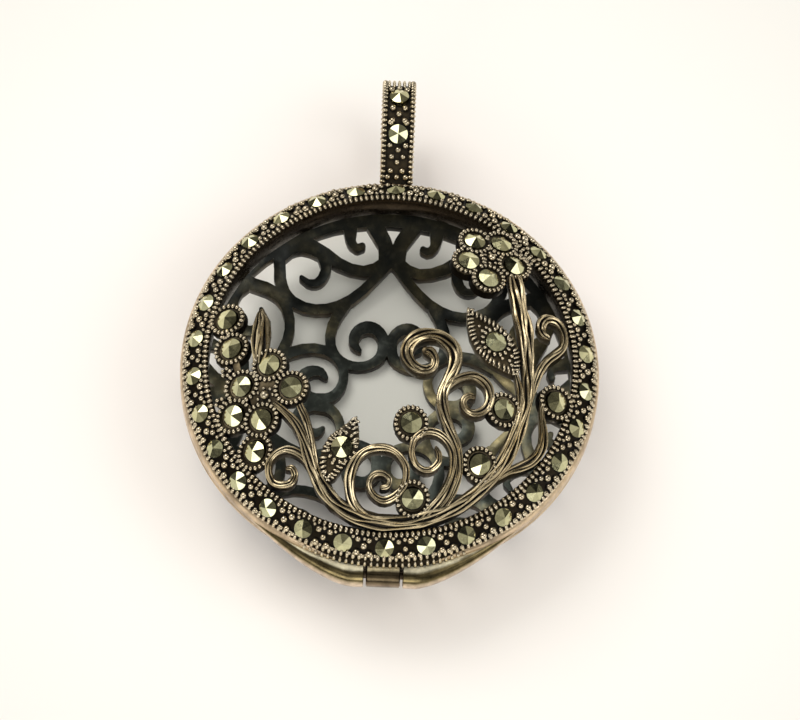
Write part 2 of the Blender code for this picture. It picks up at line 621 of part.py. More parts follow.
def build_catch_tongue():
    bm = bmesh.new()
    prism(bm, Matrix.Identity(4), tongue_outline(0.0), BACK_SEAM_Z + STONE_LIFT, TONGUE_TOP_Z)
    return place(bm, "catch_tongue", BRIGHT_SILVER)


def bail_tangent(foot, turn):
    """Angle, in radians, where the line from a foot point touches the loop's outer circle."""
    way = foot - BAIL_CENTRE
    return math.atan2(way.y, way.x) + turn * math.acos(BAIL_RADIUS / way.length)


def bail_outlines():
    """Outer and inner outlines of the teardrop loop, in (y, z)."""
    first = bail_tangent(BAIL_FOOT_TOP, -1)
    last = bail_tangent(BAIL_FOOT_BOTTOM, 1) - 2 * math.pi
    steps = range(110, -131, -BAIL_FACET)
    outer = [tuple(BAIL_FOOT_TOP)]
    inner = [tuple(BAIL_CROTCH)]
    for angle in (first, *(math.radians(step) for step in steps), last):
        way = Vector((math.cos(angle), math.sin(angle)))
        outer.append(tuple(BAIL_CENTRE + BAIL_RADIUS * way))
        inner.append(tuple(BAIL_CENTRE + (BAIL_RADIUS - BAIL_THICKNESS) * way))
    outer.append(tuple(BAIL_FOOT_BOTTOM))
    return outer, inner


def bail_stone_frame(reach):
    """Frame on the outer face, `reach` past the start of its straight part; negative is back on the loop."""
    angle = bail_tangent(BAIL_FOOT_TOP, -1) + min(reach, 0.0) / BAIL_RADIUS
    way = Vector((0.0, math.cos(angle), math.sin(angle)))
    spot = Vector((0.0, *BAIL_CENTRE)) + BAIL_RADIUS * way + max(reach, 0.0) * Vector((0.0, -way.z, way.y))
    return Matrix.Translation(spot) @ way.to_track_quat("Z", "X").to_matrix().to_4x4()


def build_bail():
    outer, inner = bail_outlines()
    bm = bmesh.new()
    faces = []
    for x in (-BAIL_WIDTH / 2, BAIL_WIDTH / 2):
        faces.append([[bm.verts.new((x, y, z)) for y, z in outline] for outline in (outer, inner)])
    (outer_a, inner_a), (outer_b, inner_b) = faces
    count = len(outer)
    for side_outer, side_inner in faces:
        bm.faces.new((side_outer[0], side_outer[1], side_inner[1], side_inner[0]))
        for i in range(1, count - 2):
            bm.faces.new((side_outer[i], side_outer[i + 1], side_inner[i + 1], side_inner[i]))
        bm.faces.new((side_outer[-2], side_outer[-1], side_inner[0], side_inner[-1]))
        bm.faces.new((side_outer[0], side_inner[0], side_outer[-1]))
    for i in range(count):
        j = (i + 1) % count
        bm.faces.new((outer_a[i], outer_a[j], outer_b[j], outer_b[i]))
    for i in range(len(inner)):
        j = (i + 1) % len(inner)
        bm.faces.new((inner_a[i], inner_a[j], inner_b[j], inner_b[i]))
    bail = place(bm, "bail", BRIGHT_SILVER)
    seats = bmesh.new()
    for reach in BAIL_STONE_REACH:
        hole = circle(BAIL_STONE_RADIUS + SEAT_CLEARANCE, STONE_SIDES)
        prism(seats, bail_stone_frame(reach), hole, -BAIL_SEAT_DEPTH, CUTTER_REACH)
    cut(bail, seats)
    return bail


def build_stones():
    stones = []
    for i in range(RING_STONE_COUNT):
        angle = 2 * math.pi * i / RING_STONE_COUNT
        frame = dome_frame(RING_STONE_CIRCLE * math.sin(angle), RING_STONE_CIRCLE * math.cos(angle))
        bm = rose_cut(RING_STONE_RADIUS, STONE_LIFT - RING_SEAT_DEPTH, 0.05, 0.42, frame)
        stones.append(place(bm, f"ring_stone_{i + 1:02d}", MARCASITE))
    for name, i, x, y in seat_positions():
        base = STONE_LIFT + SPRAY_SEAT + 0.03
        bm = rose_cut(PETAL_STONE_RADIUS * 0.97, base, 0.16, 0.58, dome_frame(x, y))
        stones.append(place(bm, f"{name}_{i}", MARCASITE))
    for i, reach in enumerate(BAIL_STONE_REACH, 1):
        bm = rose_cut(BAIL_STONE_RADIUS, STONE_LIFT - BAIL_SEAT_DEPTH, 0.08, 0.45, bail_stone_frame(reach))
        stones.append(place(bm, f"bail_stone_{i}", MARCASITE))
    return stones


def main():
    clear_scene()
    front_ring = build_front_ring()
    back_rim = build_back_rim()
    for piece in (build_flower_spray(), build_bail(), build_hinge_pin(), *build_stones()):
        follow(piece, front_ring)
    for piece in (build_grille(), build_centre_knuckle(), build_catch_tongue()):
        follow(piece, back_rim)


main()
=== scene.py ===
"""Looks of the hinged pendant locket: fine metalwork, cut stones, antiqued silver, floor, light and camera.

Shapes are drawn in millimetres about the ring's own axis: X to the right, Y towards the bail and Z out of
the front cover. Z = 0 lies 2.15 mm above the front ring's lower edge.
"""

import math
import random

import bmesh
import bpy
from mathutils import Matrix, Vector


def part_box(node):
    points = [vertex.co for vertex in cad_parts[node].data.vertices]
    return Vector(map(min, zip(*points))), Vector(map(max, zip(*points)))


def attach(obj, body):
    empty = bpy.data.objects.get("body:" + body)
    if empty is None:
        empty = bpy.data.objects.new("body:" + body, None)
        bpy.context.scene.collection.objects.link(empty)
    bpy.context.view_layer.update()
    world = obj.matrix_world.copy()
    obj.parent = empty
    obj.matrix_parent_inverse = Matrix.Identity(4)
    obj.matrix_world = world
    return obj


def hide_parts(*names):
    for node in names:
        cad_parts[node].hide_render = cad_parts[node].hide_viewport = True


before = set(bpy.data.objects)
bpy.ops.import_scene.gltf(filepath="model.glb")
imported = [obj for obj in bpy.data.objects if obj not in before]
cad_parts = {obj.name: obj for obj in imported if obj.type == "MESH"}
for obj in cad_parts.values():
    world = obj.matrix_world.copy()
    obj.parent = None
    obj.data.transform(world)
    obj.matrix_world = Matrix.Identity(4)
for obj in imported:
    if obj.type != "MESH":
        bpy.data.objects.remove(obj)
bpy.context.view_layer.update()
random.seed(7)

MM = 0.001
UPWARD = Vector((0.0, 0.0, 1.0))
BACK_SEAM_Z = -2.25
RIM_LOW, RIM_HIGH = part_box("back_rim")
RING_OUTER = (RIM_HIGH.x - RIM_LOW.x) / 2 / MM
RING_CENTRE = Vector((  # where the shapes' own origin lies in the row frame, in metres
    (RIM_LOW.x + RIM_HIGH.x) / 2,
    RIM_HIGH.y - RING_OUTER * MM,
    RIM_HIGH.z - BACK_SEAM_Z * MM,
))

# Front ring
DOME_RADIUS = 26.0
DOME_CENTRE_Z = -21.38
RING_INNER = 13.9
FRONT_SEAM_Z = -2.15
RING_STONE_CIRCLE = 15.05
RING_STONE_COUNT = 30
RING_STONE_RADIUS = 0.70
RING_FLOOR = (14.40, 15.62)  # radii between which the ground of the stones follows the dome
RING_FLOOR_STEPS = 6
MILGRAIN_COUNT = 213
MILGRAIN_FADE = math.radians(5)  # over which a partial row of ribs shortens to its ends
GRANULE_RADIUS = 0.25
GRANULE_LIFT = 0.07
GRANULE_SPOTS = (  # around and out from midway between two stones, and share of the radius
    (0, 0, 1.05), (-0.44, -0.40, 1.0), (0.44, -0.40, 1.0), (-0.44, 0.42, 1.0), (0.44, 0.42, 1.0),
    (0, -0.52, 0.62), (0, 0.56, 0.72), (-0.92, -0.56, 0.6), (0.92, -0.56, 0.6), (-0.98, 0.56, 0.66),
    (0.98, 0.56, 0.66),
)
TURN_STEPS = 360  # round every ring
STONE_FACETS = 6
STONE_FACET_SIDES = 6  # of a stone's outline under each facet

# Flower spray
SPRAY_TOP = 0.10
CUP_RADIUS = 1.32
CUP_SIDES = 40
CUP_BEAD_CIRCLE = 1.16
CUP_BEADS = 21
CUP_BEAD_RADIUS = 0.148
CUP_PROFILE = (
    (CUP_RADIUS - 0.02, -0.80), (CUP_RADIUS, -0.10), (CUP_RADIUS - 0.05, 0.10), (1.15, 0.16), (1.0, 0.10),
    (0.92, -0.05), (0.84, -0.20), (0.84, -0.80),
)
CUP_CROWDED = 0.98  # a bead this near a neighbouring stone is left out
LEAF_BEAD_CIRCLE = 1.05
LEAF_BEADS = 15
HEART_BEADS = 7
HEART_BEAD_RADIUS = 0.13
FILLER_PROFILE = ((0.02, -0.7), (0.44, -0.7), (0.44, 0.0), (0.30, 0.10), (0.02, 0.12))
FILLER_SIDES = 16
FILLER_BEADS = 5
LEAF_RIB_PITCH = 0.37
LEAF_GRAIN_STEP = 0.46
LEAF_ROWS = 12  # of grains to each side of a leaf's middle, before they are trimmed to its outline
PETAL_STONE_RADIUS = 0.80
WIRE_SIDES = 8

# Hinge
HINGE_Y = -16.45
HINGE_Z = -2.20
KNUCKLE_RADIUS = 0.95
CENTRE_KNUCKLE_HALF = 1.20
BARREL_START = 1.48
BARREL_STRAIGHT = 2.40
BARREL_TIP = 10.30
BARREL_INWARD = 4.34
BARREL_RISE = 0.45
BARREL_STATIONS = 45
KNUCKLE_SIDES = 40
RECESS_PROFILE = (  # dark ground behind the long ribs over the hinge
    (15.80, -0.78), (15.92, -0.82), (16.04, -0.95), (16.115, -1.15), (16.115, -1.72), (15.95, -1.74),
    (15.60, -0.90),
)
RECESS_REACH = math.radians(23)
RECESS_STEPS = 26
RECESS_FADE_STEPS = 6
BACK_RIM_PROFILE = (
    (15.22, -2.25), (15.98, -2.25), (16.08, -2.32), (16.10, -2.42), (16.06, -2.75), (15.95, -3.0),
    (15.78, -3.35), (15.62, -3.75), (15.47, -4.15), (15.34, -4.6), (15.24, -4.98), (15.2, -5.08),
    (15.14, -5.0), (15.2, -4.4),
)

# Bail
BAIL_WIDTH = 2.45
BAIL_RADIUS = 3.60
BAIL_THICKNESS = 0.60
BAIL_CENTRE = Vector((21.75, -2.5))  # (y, z), as the next two
BAIL_FOOT_TOP = Vector((16.15, -1.10))
BAIL_FOOT_BOTTOM = Vector((16.15, -2.05))
BAIL_STONE_RADIUS = 0.75
BAIL_STONE_REACH = (-2.52, 0.65)  # along the strap from the start of its straight part, towards the foot
BAIL_TOOTH_PITCH = 0.40
BAIL_TEETH = (-30, 12)  # first and end of the range of teeth along each edge
BAIL_RIB_ROWS = 5
BAIL_RIBS_ACROSS = 5
BAIL_GRAIN_RADIUS = 0.24
BAIL_FOOT_GRAINS = (  # along the strap from the second stone, and across
    (1.25, 0.05), (1.79, -0.45), (1.79, 0.45), (2.22, 0.0), (2.9, -0.50), (2.9, 0.42), (3.4, 0.0),
    (3.4, -0.7), (3.4, 0.7),
)
BAIL_SINK = -0.02  # of beads into the strap's outer face

CAMERA_DISTANCE = 0.300  # metres from the locket's middle

STEMS = (  # centre lines as (x, y, width)
    ((-8.7, -4.8, 0.4), (-7.9, -5.5, 0.5), (-7.05, -6.4, 0.62), (-6.4, -7.5, 0.7), (-5.95, -8.6, 0.8),
     (-5.45, -9.8, 0.95), (-4.85, -11.0, 1.0), (-3.9, -12.1, 0.95), (-2.5, -12.9, 0.95),
     (-0.6, -13.35, 0.95), (1.6, -13.35, 0.95), (3.5, -12.85, 0.9), (4.8, -12.25, 0.85),
     (6.0, -11.45, 0.85), (7.1, -10.5, 0.8), (8.1, -9.5, 0.8), (8.85, -8.5, 0.78), (9.4, -7.3, 0.72),
     (9.8, -6.0, 0.7), (10.2, -4.6, 0.7),
     (10.4, -3.6, 0.75), (10.4, -2.2, 0.85), (10.25, -0.4, 1.0), (10.1, 1.2, 1.1), (9.85, 3.0, 1.2),
     (9.5, 5.0, 1.2), (9.2, 6.9, 1.1)),
    ((-6.75, -5.1, 0.45), (-6.25, -6.1, 0.5), (-5.9, -7.2, 0.5), (-5.6, -8.4, 0.5), (-5.25, -9.9, 0.4)),
    ((-5.0, -10.8, 0.5), (-5.6, -9.8, 0.5), (-6.2, -9.0, 0.5), (-6.9, -8.5, 0.5), (-7.7, -8.3, 0.5),
     (-8.4, -8.55, 0.5), (-8.85, -9.15, 0.5), (-8.85, -9.9, 0.5), (-8.5, -10.5, 0.5), (-7.9, -10.75, 0.5),
     (-7.2, -10.65, 0.5), (-6.87, -10.15, 0.42), (-7.1, -9.65, 0.36), (-7.5, -9.6, 0.3)),
    ((-1.0, -13.2, 0.5), (-1.9, -12.75, 0.6), (-2.55, -12.0, 0.7), (-2.8, -11.0, 0.75), (-2.72, -10.1, 0.7),
     (-2.35, -9.2, 0.6), (-1.7, -8.6, 0.55), (-0.8, -8.33, 0.55), (0.1, -8.4, 0.55), (0.8, -8.8, 0.52),
     (1.3, -9.5, 0.5), (1.4, -10.3, 0.5), (1.15, -11.05, 0.48), (0.6, -11.65, 0.46), (-0.1, -11.95, 0.46),
     (-0.8, -11.75, 0.46), (-1.3, -11.2, 0.46), (-1.3, -10.6, 0.45), (-0.9, -10.2, 0.44),
     (-0.3, -10.15, 0.42), (0.15, -10.5, 0.4), (0.05, -11.0, 0.35), (-0.4, -11.1, 0.3)),
    ((2.6, -13.0, 0.5), (3.3, -12.3, 0.5), (4.0, -11.5, 0.5), (4.5, -10.6, 0.5), (4.8, -9.7, 0.5),
     (4.88, -8.8, 0.5), (4.7, -8.0, 0.5), (4.2, -7.35, 0.5), (3.5, -7.0, 0.5), (2.7, -7.05, 0.5),
     (2.05, -7.5, 0.5), (1.75, -8.15, 0.5), (1.8, -8.85, 0.5), (2.15, -9.45, 0.48), (2.75, -9.75, 0.45),
     (3.35, -9.6, 0.42), (3.78, -9.1, 0.4), (3.8, -8.55, 0.36), (3.6, -8.15, 0.3)),
    ((3.6, -12.85, 0.4), (4.5, -11.8, 0.5), (5.05, -10.7, 0.5), (5.35, -9.6, 0.5), (5.3, -8.5, 0.55),
     (5.0, -7.5, 0.65), (4.5, -6.6, 0.8), (4.1, -5.7, 0.85), (3.85, -4.8, 0.85), (3.9, -3.9, 0.8),
     (4.3, -2.9, 0.75), (4.7, -2.0, 0.9), (4.85, -1.1, 1.1), (4.5, -0.2, 1.05), (3.7, 0.4, 0.95),
     (2.8, 0.5, 0.95), (1.9, 0.2, 0.95), (1.3, -0.4, 1.0), (1.1, -1.15, 1.0), (1.4, -1.85, 0.85),
     (2.0, -2.35, 0.75), (2.7, -2.4, 0.68), (3.2, -2.0, 0.6), (3.25, -1.4, 0.6), (2.95, -0.95, 0.8),
     (2.6, -0.8, 0.7)),
    ((4.0, -3.9, 0.5), (4.35, -3.4, 0.6), (4.85, -2.95, 0.65), (5.45, -2.6, 0.65), (6.15, -2.45, 0.65),
     (6.8, -2.65, 0.65), (7.3, -3.15, 0.65), (7.48, -3.9, 0.65), (7.3, -4.65, 0.62), (6.8, -5.15, 0.6),
     (6.15, -5.3, 0.6), (5.6, -5.0, 0.6), (5.5, -4.45, 0.56), (5.85, -4.05, 0.5), (6.25, -4.05, 0.4)),
    ((9.5, -1.8, 0.35), (9.75, -2.8, 0.48), (9.82, -3.9, 0.5), (9.65, -5.0, 0.5), (9.3, -6.2, 0.5),
     (8.85, -7.4, 0.5), (8.3, -8.6, 0.5), (7.5, -9.8, 0.5), (6.6, -10.7, 0.45)),
    ((10.45, -3.9, 0.4), (10.75, -2.9, 0.45), (11.0, -1.8, 0.5), (11.35, -0.8, 0.6), (11.9, 0.05, 0.65),
     (12.5, 0.7, 0.65), (13.0, 1.35, 0.6), (13.2, 2.15, 0.58), (13.05, 2.95, 0.58), (12.6, 3.5, 0.62),
     (12.0, 3.6, 0.66), (11.5, 3.3, 0.7), (11.3, 2.7, 0.7), (11.5, 2.15, 0.6), (11.95, 1.95, 0.4)),
    ((11.6, -3.5, 0.4), (11.5, -4.2, 0.45), (11.55, -4.9, 0.5), (11.65, -5.7, 0.55), (11.6, -6.6, 0.6),
     (11.3, -7.4, 0.65), (10.75, -8.05, 0.65), (10.0, -8.55, 0.6), (9.1, -9.05, 0.5), (8.3, -9.65, 0.4)),
    ((-10.0, -1.6, 0.9), (-9.9, -0.2, 1.3), (-9.85, 0.85, 1.4), (-9.82, 1.8, 1.15), (-9.95, 2.5, 0.66),
     (-9.97, 2.95, 0.3)),
)
SPRAY_STONES = {  # (x, y) of each seat
    "right_flower_stone": ((6.14, 9.73), (8.2, 9.95), (9.2, 7.95), (7.2, 6.2), (5.68, 7.64)),
    "left_flower_stone": ((-9.16, -1.79), (-7.45, -3.74), (-9.58, -5.95), (-11.68, -5.37), (-11.18, -3.21)),
    "bud_stone": ((-12.53, 2.58), (-12.1, 0.0), (-9.95, -8.21), (1.95, -11.74), (1.63, -6.47), (6.9, -8.9),
                  (8.58, -4.63), (12.6, -3.15)),
    "leaf_stone": ((7.84, 0.6), (-3.47, -8.32)),
}
FLOWER_HEARTS = ((7.4, 8.2, 0.30), (-9.37, -4.16, 0.35))  # (x, y, radius)
FILLERS = (  # small posts that join a flower to the ring
    (9.45, 9.35), (9.95, 8.95), (10.35, 8.75), (9.15, 9.95), (-12.75, -4.2), (-12.6, 1.25), (-12.4, -1.9),
)
LEAVES = (  # outlines as (x, y)
    ((5.6, 3.2), (6.9, 2.7), (8.2, 2.1), (9.1, 1.3), (9.65, 0.2), (9.75, -0.9), (9.65, -1.9), (8.6, -1.7),
     (7.4, -1.25), (6.4, -0.4), (5.85, 0.7), (5.6, 2.0)),
    ((-2.45, -6.1), (-2.25, -7.1), (-2.2, -8.0), (-2.6, -9.0), (-3.3, -9.75), (-3.9, -10.5), (-4.5, -10.8),
     (-5.0, -10.2), (-5.1, -9.2), (-4.9, -8.3), (-4.4, -7.5), (-3.4, -6.8)),
)


# ---------------------------------------------------------------- mesh helpers

class Shape:
    """Vertices and faces of one piece, in millimetres about the ring's axis."""

    def __init__(self):
        self.points = []
        self.faces = []

    def add(self, points, faces):
        start = len(self.points)
        self.points.extend(points)
        self.faces.extend(tuple(i + start for i in face) for face in faces)

    def finish(self, name, look, replaces=(), sharp=40.0, body="front_cover", slot="bright_silver"):
        """Make the piece; faces that meet at more than `sharp` degrees keep a crisp edge."""
        mesh = bpy.data.meshes.new(name)
        mesh.from_pydata([RING_CENTRE + Vector(p) * MM for p in self.points], [], self.faces)
        mesh.update()
        bm = bmesh.new()
        bm.from_mesh(mesh)
        bmesh.ops.recalc_face_normals(bm, faces=bm.faces)
        bm.to_mesh(mesh)
        bm.free()
        mesh.shade_smooth()
        mesh.set_sharp_from_angle(angle=math.radians(sharp))
        mesh.materials.append(LOOKS[look])
        piece = bpy.data.objects.new(name, mesh)
        bpy.context.scene.collection.objects.link(piece)
        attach(piece, body)
        if replaces:
            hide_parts(*replaces)


def bead_template(subdivisions):
    """Points and faces of a round bead of radius 1."""
    bm = bmesh.new()
    bmesh.ops.create_icosphere(bm, subdivisions=subdivisions, radius=1.0)
    points = [v.co.copy() for v in bm.verts]
    faces = [tuple(v.index for v in f.verts) for f in bm.faces]
    bm.free()
    return points, faces


BEAD = bead_template(2)


def add_bead(shape, place, rx, ry=None, rz=None):
    """A small ellipsoid; `place` maps its own axes into the ring's frame."""
    ry = rx if ry is None else ry
    rz = rx if rz is None else rz
    points, faces = BEAD
    shape.add([place @ Vector((p.x * rx, p.y * ry, p.z * rz)) for p in points], faces)


def add_turned(shape, profile, steps=TURN_STEPS, place=Matrix.Identity(4)):
    """Closed profile of (radius, z) turned a full circle about the Z axis of `place`."""
    count = len(profile)
    points, faces = [], []
    for step in range(steps):
        angle = 2 * math.pi * step / steps
        points += [place @ Vector((r * math.sin(angle), r * math.cos(angle), z)) for r, z in profile]
    for step in range(steps):
        here, after = step * count, (step + 1) % steps * count
        for i in range(count):
            j = (i + 1) % count
            faces.append((here + i, here + j, after + j, after + i))
    shape.add(points, faces)


def add_loft(shape, rings):
    """Skin over closed rings that have the same number of points, with a flat face at either end."""
    count = len(rings[0])
    last = (len(rings) - 1) * count
    faces = [tuple(range(count))[::-1], tuple(range(last, last + count))]
    for i in range(0, last, count):
        for k in range(count):
            n = (k + 1) % count
            faces.append((i + k, i + n, i + count + n, i + count + k))
    shape.add([point for ring in rings for point in ring], faces)


def add_sweep(shape, stations, sides):
    """Bar through stations of (centre, across, up); across and up reach from the centre to the skin."""
    angles = [2 * math.pi * k / sides for k in range(sides)]
    rings = []
    for centre, across, up in stations:
        rings.append([centre + across * math.cos(angle) + up * math.sin(angle) for angle in angles])
    add_loft(shape, rings)


def dome_height(radius):
    return DOME_CENTRE_Z + math.sqrt(DOME_RADIUS ** 2 - radius ** 2)


def dome_point(x, y, lift=0.0):
    """The point `lift` above the dome, along its normal, at plan position (x, y)."""
    ground = Vector((x, y, dome_height(math.hypot(x, y))))
    return ground + (ground - UPWARD * DOME_CENTRE_Z).normalized() * lift


def dome_normal(x, y):
    return (dome_point(x, y) - UPWARD * DOME_CENTRE_Z).normalized()


def frame_at(origin, normal, along):
    """Frame with Z on the normal and X as near to `along` as the normal allows."""
    z = normal.normalized()
    x = (along - z * along.dot(z)).normalized()
    return Matrix.Translation(origin) @ Matrix((x, z.cross(x), z)).transposed().to_4x4()


def dome_frame(x, y, lift=0.0, along=Vector((1.0, 0.0, 0.0))):
    return frame_at(dome_point(x, y, lift), dome_normal(x, y), along)


def smooth_path(points, steps=5):
    """Catmull-Rom curve through (x, y, width) control points."""
    knots = [Vector(point) for point in points]
    knots = [2 * knots[0] - knots[1]] + knots + [2 * knots[-1] - knots[-2]]
    path = []
    for i in range(1, len(knots) - 2):
        a, b, c, d = knots[i - 1:i + 3]
        for k in range(steps):
            t = k / steps
            square = (2 * a - 5 * b + 4 * c - d) * t ** 2
            cube = (3 * b - a - 3 * c + d) * t ** 3
            path.append(0.5 * (2 * b + (c - a) * t + square + cube))
    path.append(knots[-2])
    return path


# ---------------------------------------------------------------- materials

def node_material(name):
    made = bpy.data.materials.new(name)
    made.use_nodes = True
    tree = made.node_tree
    return made, tree, tree.nodes["Principled BSDF"]


def noise(tree, scale, detail=4.0, roughness=0.6):
    """Noise whose scale counts features per millimetre."""
    coordinates = tree.nodes.new("ShaderNodeTexCoord")
    texture = tree.nodes.new("ShaderNodeTexNoise")
    texture.inputs["Scale"].default_value = scale / MM
    texture.inputs["Detail"].default_value = detail
    texture.inputs["Roughness"].default_value = roughness
    tree.links.new(coordinates.outputs["Object"], texture.inputs["Vector"])
    return texture.outputs["Fac"]


def ramp(tree, source, stops):
    """Colour ramp through (position, colour) stops."""
    node = tree.nodes.new("ShaderNodeValToRGB")
    elements = node.color_ramp.elements
    while len(elements) > 1:
        elements.remove(elements[-1])
    elements[0].position, elements[0].color = stops[0][0], (*stops[0][1], 1.0)
    for position, colour in stops[1:]:
        elements.new(position).color = (*colour, 1.0)
    tree.links.new(source, node.inputs["Fac"])
    return node.outputs["Color"]


def grey_ramp(tree, source, *stops):
    """Ramp through (position, brightness) stops."""
    return ramp(tree, source, [(position, (value, value, value)) for position, value in stops])


def mix_colour(tree, factor, first, second, blend="MIX"):
    """Mix of two colours; each argument is a value or another node's output."""
    node = tree.nodes.new("ShaderNodeMix")
    node.data_type = "RGBA"
    node.blend_type = blend
    factor_input = next(s for s in node.inputs if s.name == "Factor" and s.type == "VALUE")
    if hasattr(factor, "is_output"):
        tree.links.new(factor, factor_input)
    else:
        factor_input.default_value = factor
    for name, value in (("A", first), ("B", second)):
        colour_input = next(s for s in node.inputs if s.name == name and s.type == "RGBA")
        if hasattr(value, "is_output"):
            tree.links.new(value, colour_input)
        else:
            colour_input.default_value = (*value, 1.0)
    return next(s for s in node.outputs if s.type == "RGBA")


def multiply(tree, first, second):
    return mix_colour(tree, 1.0, first, second, "MULTIPLY")


def math_node(tree, operation, first, second=0.0, clamp=False):
    node = tree.nodes.new("ShaderNodeMath")
    node.operation = operation
    node.use_clamp = clamp
    for i, value in enumerate((first, second)):
        if hasattr(value, "is_output"):
            tree.links.new(value, node.inputs[i])
        else:
            node.inputs[i].default_value = value
    return node.outputs[0]


def add_relief(tree, shader, height, strength, depth):
    """Bump from a height of 0 to 1 that stands for `depth` millimetres."""
    relief = tree.nodes.new("ShaderNodeBump")
    relief.inputs["Strength"].default_value = strength
    relief.inputs["Distance"].default_value = depth * MM
    tree.links.new(height, relief.inputs["Height"])
    tree.links.new(relief.outputs["Normal"], shader.inputs["Normal"])


def antiqued(name, bright, dark, cavity, open_at, roughness, patina=0.35, bump=0.25, grain=2.2):
    """Silver that is rubbed bright where it stands proud and stays dark in its recesses.

    `cavity` is how far in millimetres a recess is looked for, and `open_at` how open a fully bright spot is.
    """
    made, tree, shader = node_material(name)
    openness = tree.nodes.new("ShaderNodeAmbientOcclusion")
    openness.samples = 6
    openness.inputs["Distance"].default_value = cavity * MM
    exposure = grey_ramp(tree, openness.outputs["AO"], (open_at - 0.28, 0.0), (open_at, 1.0))
    stain = grey_ramp(tree, noise(tree, 0.55, 6.0, 0.65), (0.40, 1.0), (0.68, 1.0 - patina))
    rubbed = multiply(tree, exposure, stain)
    warm = tuple(c * f for c, f in zip(bright, (0.95, 0.84, 0.66)))
    tone = mix_colour(tree, noise(tree, 0.25, 3.0), bright, warm)
    tree.links.new(mix_colour(tree, rubbed, dark, tone), shader.inputs["Base Color"])
    shine = grey_ramp(tree, noise(tree, grain, 5.0, 0.7), (0.3, roughness * 0.7), (0.75, roughness * 1.6))
    dull = (0.55, 0.55, 0.55)
    tree.links.new(mix_colour(tree, rubbed, dull, shine), shader.inputs["Roughness"])
    tree.links.new(grey_ramp(tree, rubbed, (0.0, 0.55), (0.4, 1.0)), shader.inputs["Metallic"])
    add_relief(tree, shader, noise(tree, grain, 6.0, 0.7), bump, 0.03)
    return made


def marcasite(name):
    """Polished pyrite, each stone a little greener or yellower than the next."""
    made, tree, shader = node_material(name)
    info = tree.nodes.new("ShaderNodeObjectInfo")
    body = mix_colour(tree, info.outputs["Random"], (0.74, 0.70, 0.41), (0.58, 0.58, 0.36))
    cloud = grey_ramp(tree, noise(tree, 1.4, 5.0), (0.35, 1.0), (0.75, 0.70))
    tree.links.new(multiply(tree, body, cloud), shader.inputs["Base Color"])
    shader.inputs["Metallic"].default_value = 1.0
    shine = grey_ramp(tree, noise(tree, 3.0, 4.0), (0.3, 0.08), (0.8, 0.20))
    tree.links.new(shine, shader.inputs["Roughness"])
    add_relief(tree, shader, noise(tree, 4.0, 5.0), 0.12, 0.02)
    return made


def painted_reflection_middle(tree, position):
    """Painted gold reflection: grows from 0 to a little above it towards the middle of the locket."""
    away = tree.nodes.new("ShaderNodeVectorMath")
    away.operation = "DISTANCE"
    away.inputs[1].default_value = RING_CENTRE
    tree.links.new(position, away.inputs[0])
    centimetres = math_node(tree, "MULTIPLY", away.outputs["Value"], 0.1 / MM)
    return grey_ramp(tree, centimetres, (0.62, 0.12), (0.95, 0.0))


def shade_towards_bail(tree, position):
    """Falls towards the bail, where the ring's wall keeps the light off the back."""
    split = tree.nodes.new("ShaderNodeSeparateXYZ")
    tree.links.new(position, split.inputs["Vector"])
    away = math_node(tree, "SUBTRACT", split.outputs["Y"], RING_CENTRE.y)
    centimetres = math_node(tree, "MULTIPLY", away, 0.1 / MM)
    return grey_ramp(tree, centimetres, (0.02, 1.0), (0.35, 0.55), (0.75, 0.20))


def oxidised(name):
    """The pierced back: blue-black faces going brown and gold in patches, with a painted gold reflection
    towards the middle, painted shade towards the bail and dark sawn walls.
    """
    made, tree, shader = node_material(name)
    geometry = tree.nodes.new("ShaderNodeNewGeometry")
    position = geometry.outputs["Position"]
    # random tarnish patches, plus a painted gold reflection that grows towards the middle
    patches = math_node(tree, "ADD", noise(tree, 0.16, 5.0, 0.6), painted_reflection_middle(tree, position))
    film_and_reflection = ramp(tree, patches, ((0.34, (0.021, 0.027, 0.024)), (0.50, (0.060, 0.068, 0.056)),
                                (0.58, (0.15, 0.14, 0.085)), (0.70, (0.32, 0.265, 0.13))))
    speck = grey_ramp(tree, noise(tree, 1.3, 6.0, 0.75), (0.50, 1.0), (0.74, 2.1))
    face = multiply(tree, multiply(tree, film_and_reflection, shade_towards_bail(tree, position)), speck)
    sawn = ramp(tree, noise(tree, 0.5, 4.0), ((0.42, (0.018, 0.015, 0.011)), (0.72, (0.13, 0.095, 0.05))))
    normal = tree.nodes.new("ShaderNodeSeparateXYZ")
    tree.links.new(geometry.outputs["True Normal"], normal.inputs["Vector"])
    level = math_node(tree, "ABSOLUTE", normal.outputs["Z"])
    wall = grey_ramp(tree, level, (0.45, 1.0), (0.75, 0.0))
    tree.links.new(mix_colour(tree, wall, face, sawn), shader.inputs["Base Color"])
    shader.inputs["Metallic"].default_value = 0.6
    shader.inputs["Specular IOR Level"].default_value = 0.3
    shine = grey_ramp(tree, noise(tree, 0.9, 6.0, 0.7), (0.3, 0.26), (0.75, 0.50))
    tree.links.new(shine, shader.inputs["Roughness"])
    add_relief(tree, shader, noise(tree, 1.6, 6.0, 0.7), 0.35, 0.04)
    return made


def highlight_lean(tree):
    """Painted light: from 0 where a knuckle faces away from its highlight's way to 1 where it faces it,
    wandering a little.
    """
    geometry = tree.nodes.new("ShaderNodeNewGeometry")
    facing = tree.nodes.new("ShaderNodeVectorMath")
    facing.operation = "DOT_PRODUCT"
    facing.inputs[1].default_value = HIGHLIGHT_WAY
    tree.links.new(geometry.outputs["Normal"], facing.inputs[0])
    lean = math_node(tree, "ADD", math_node(tree, "MULTIPLY", facing.outputs["Value"], 0.5), 0.5)
    centred = math_node(tree, "SUBTRACT", noise(tree, 0.35, 4.0), 0.5)
    return math_node(tree, "ADD", lean, math_node(tree, "MULTIPLY", centred, 0.12))


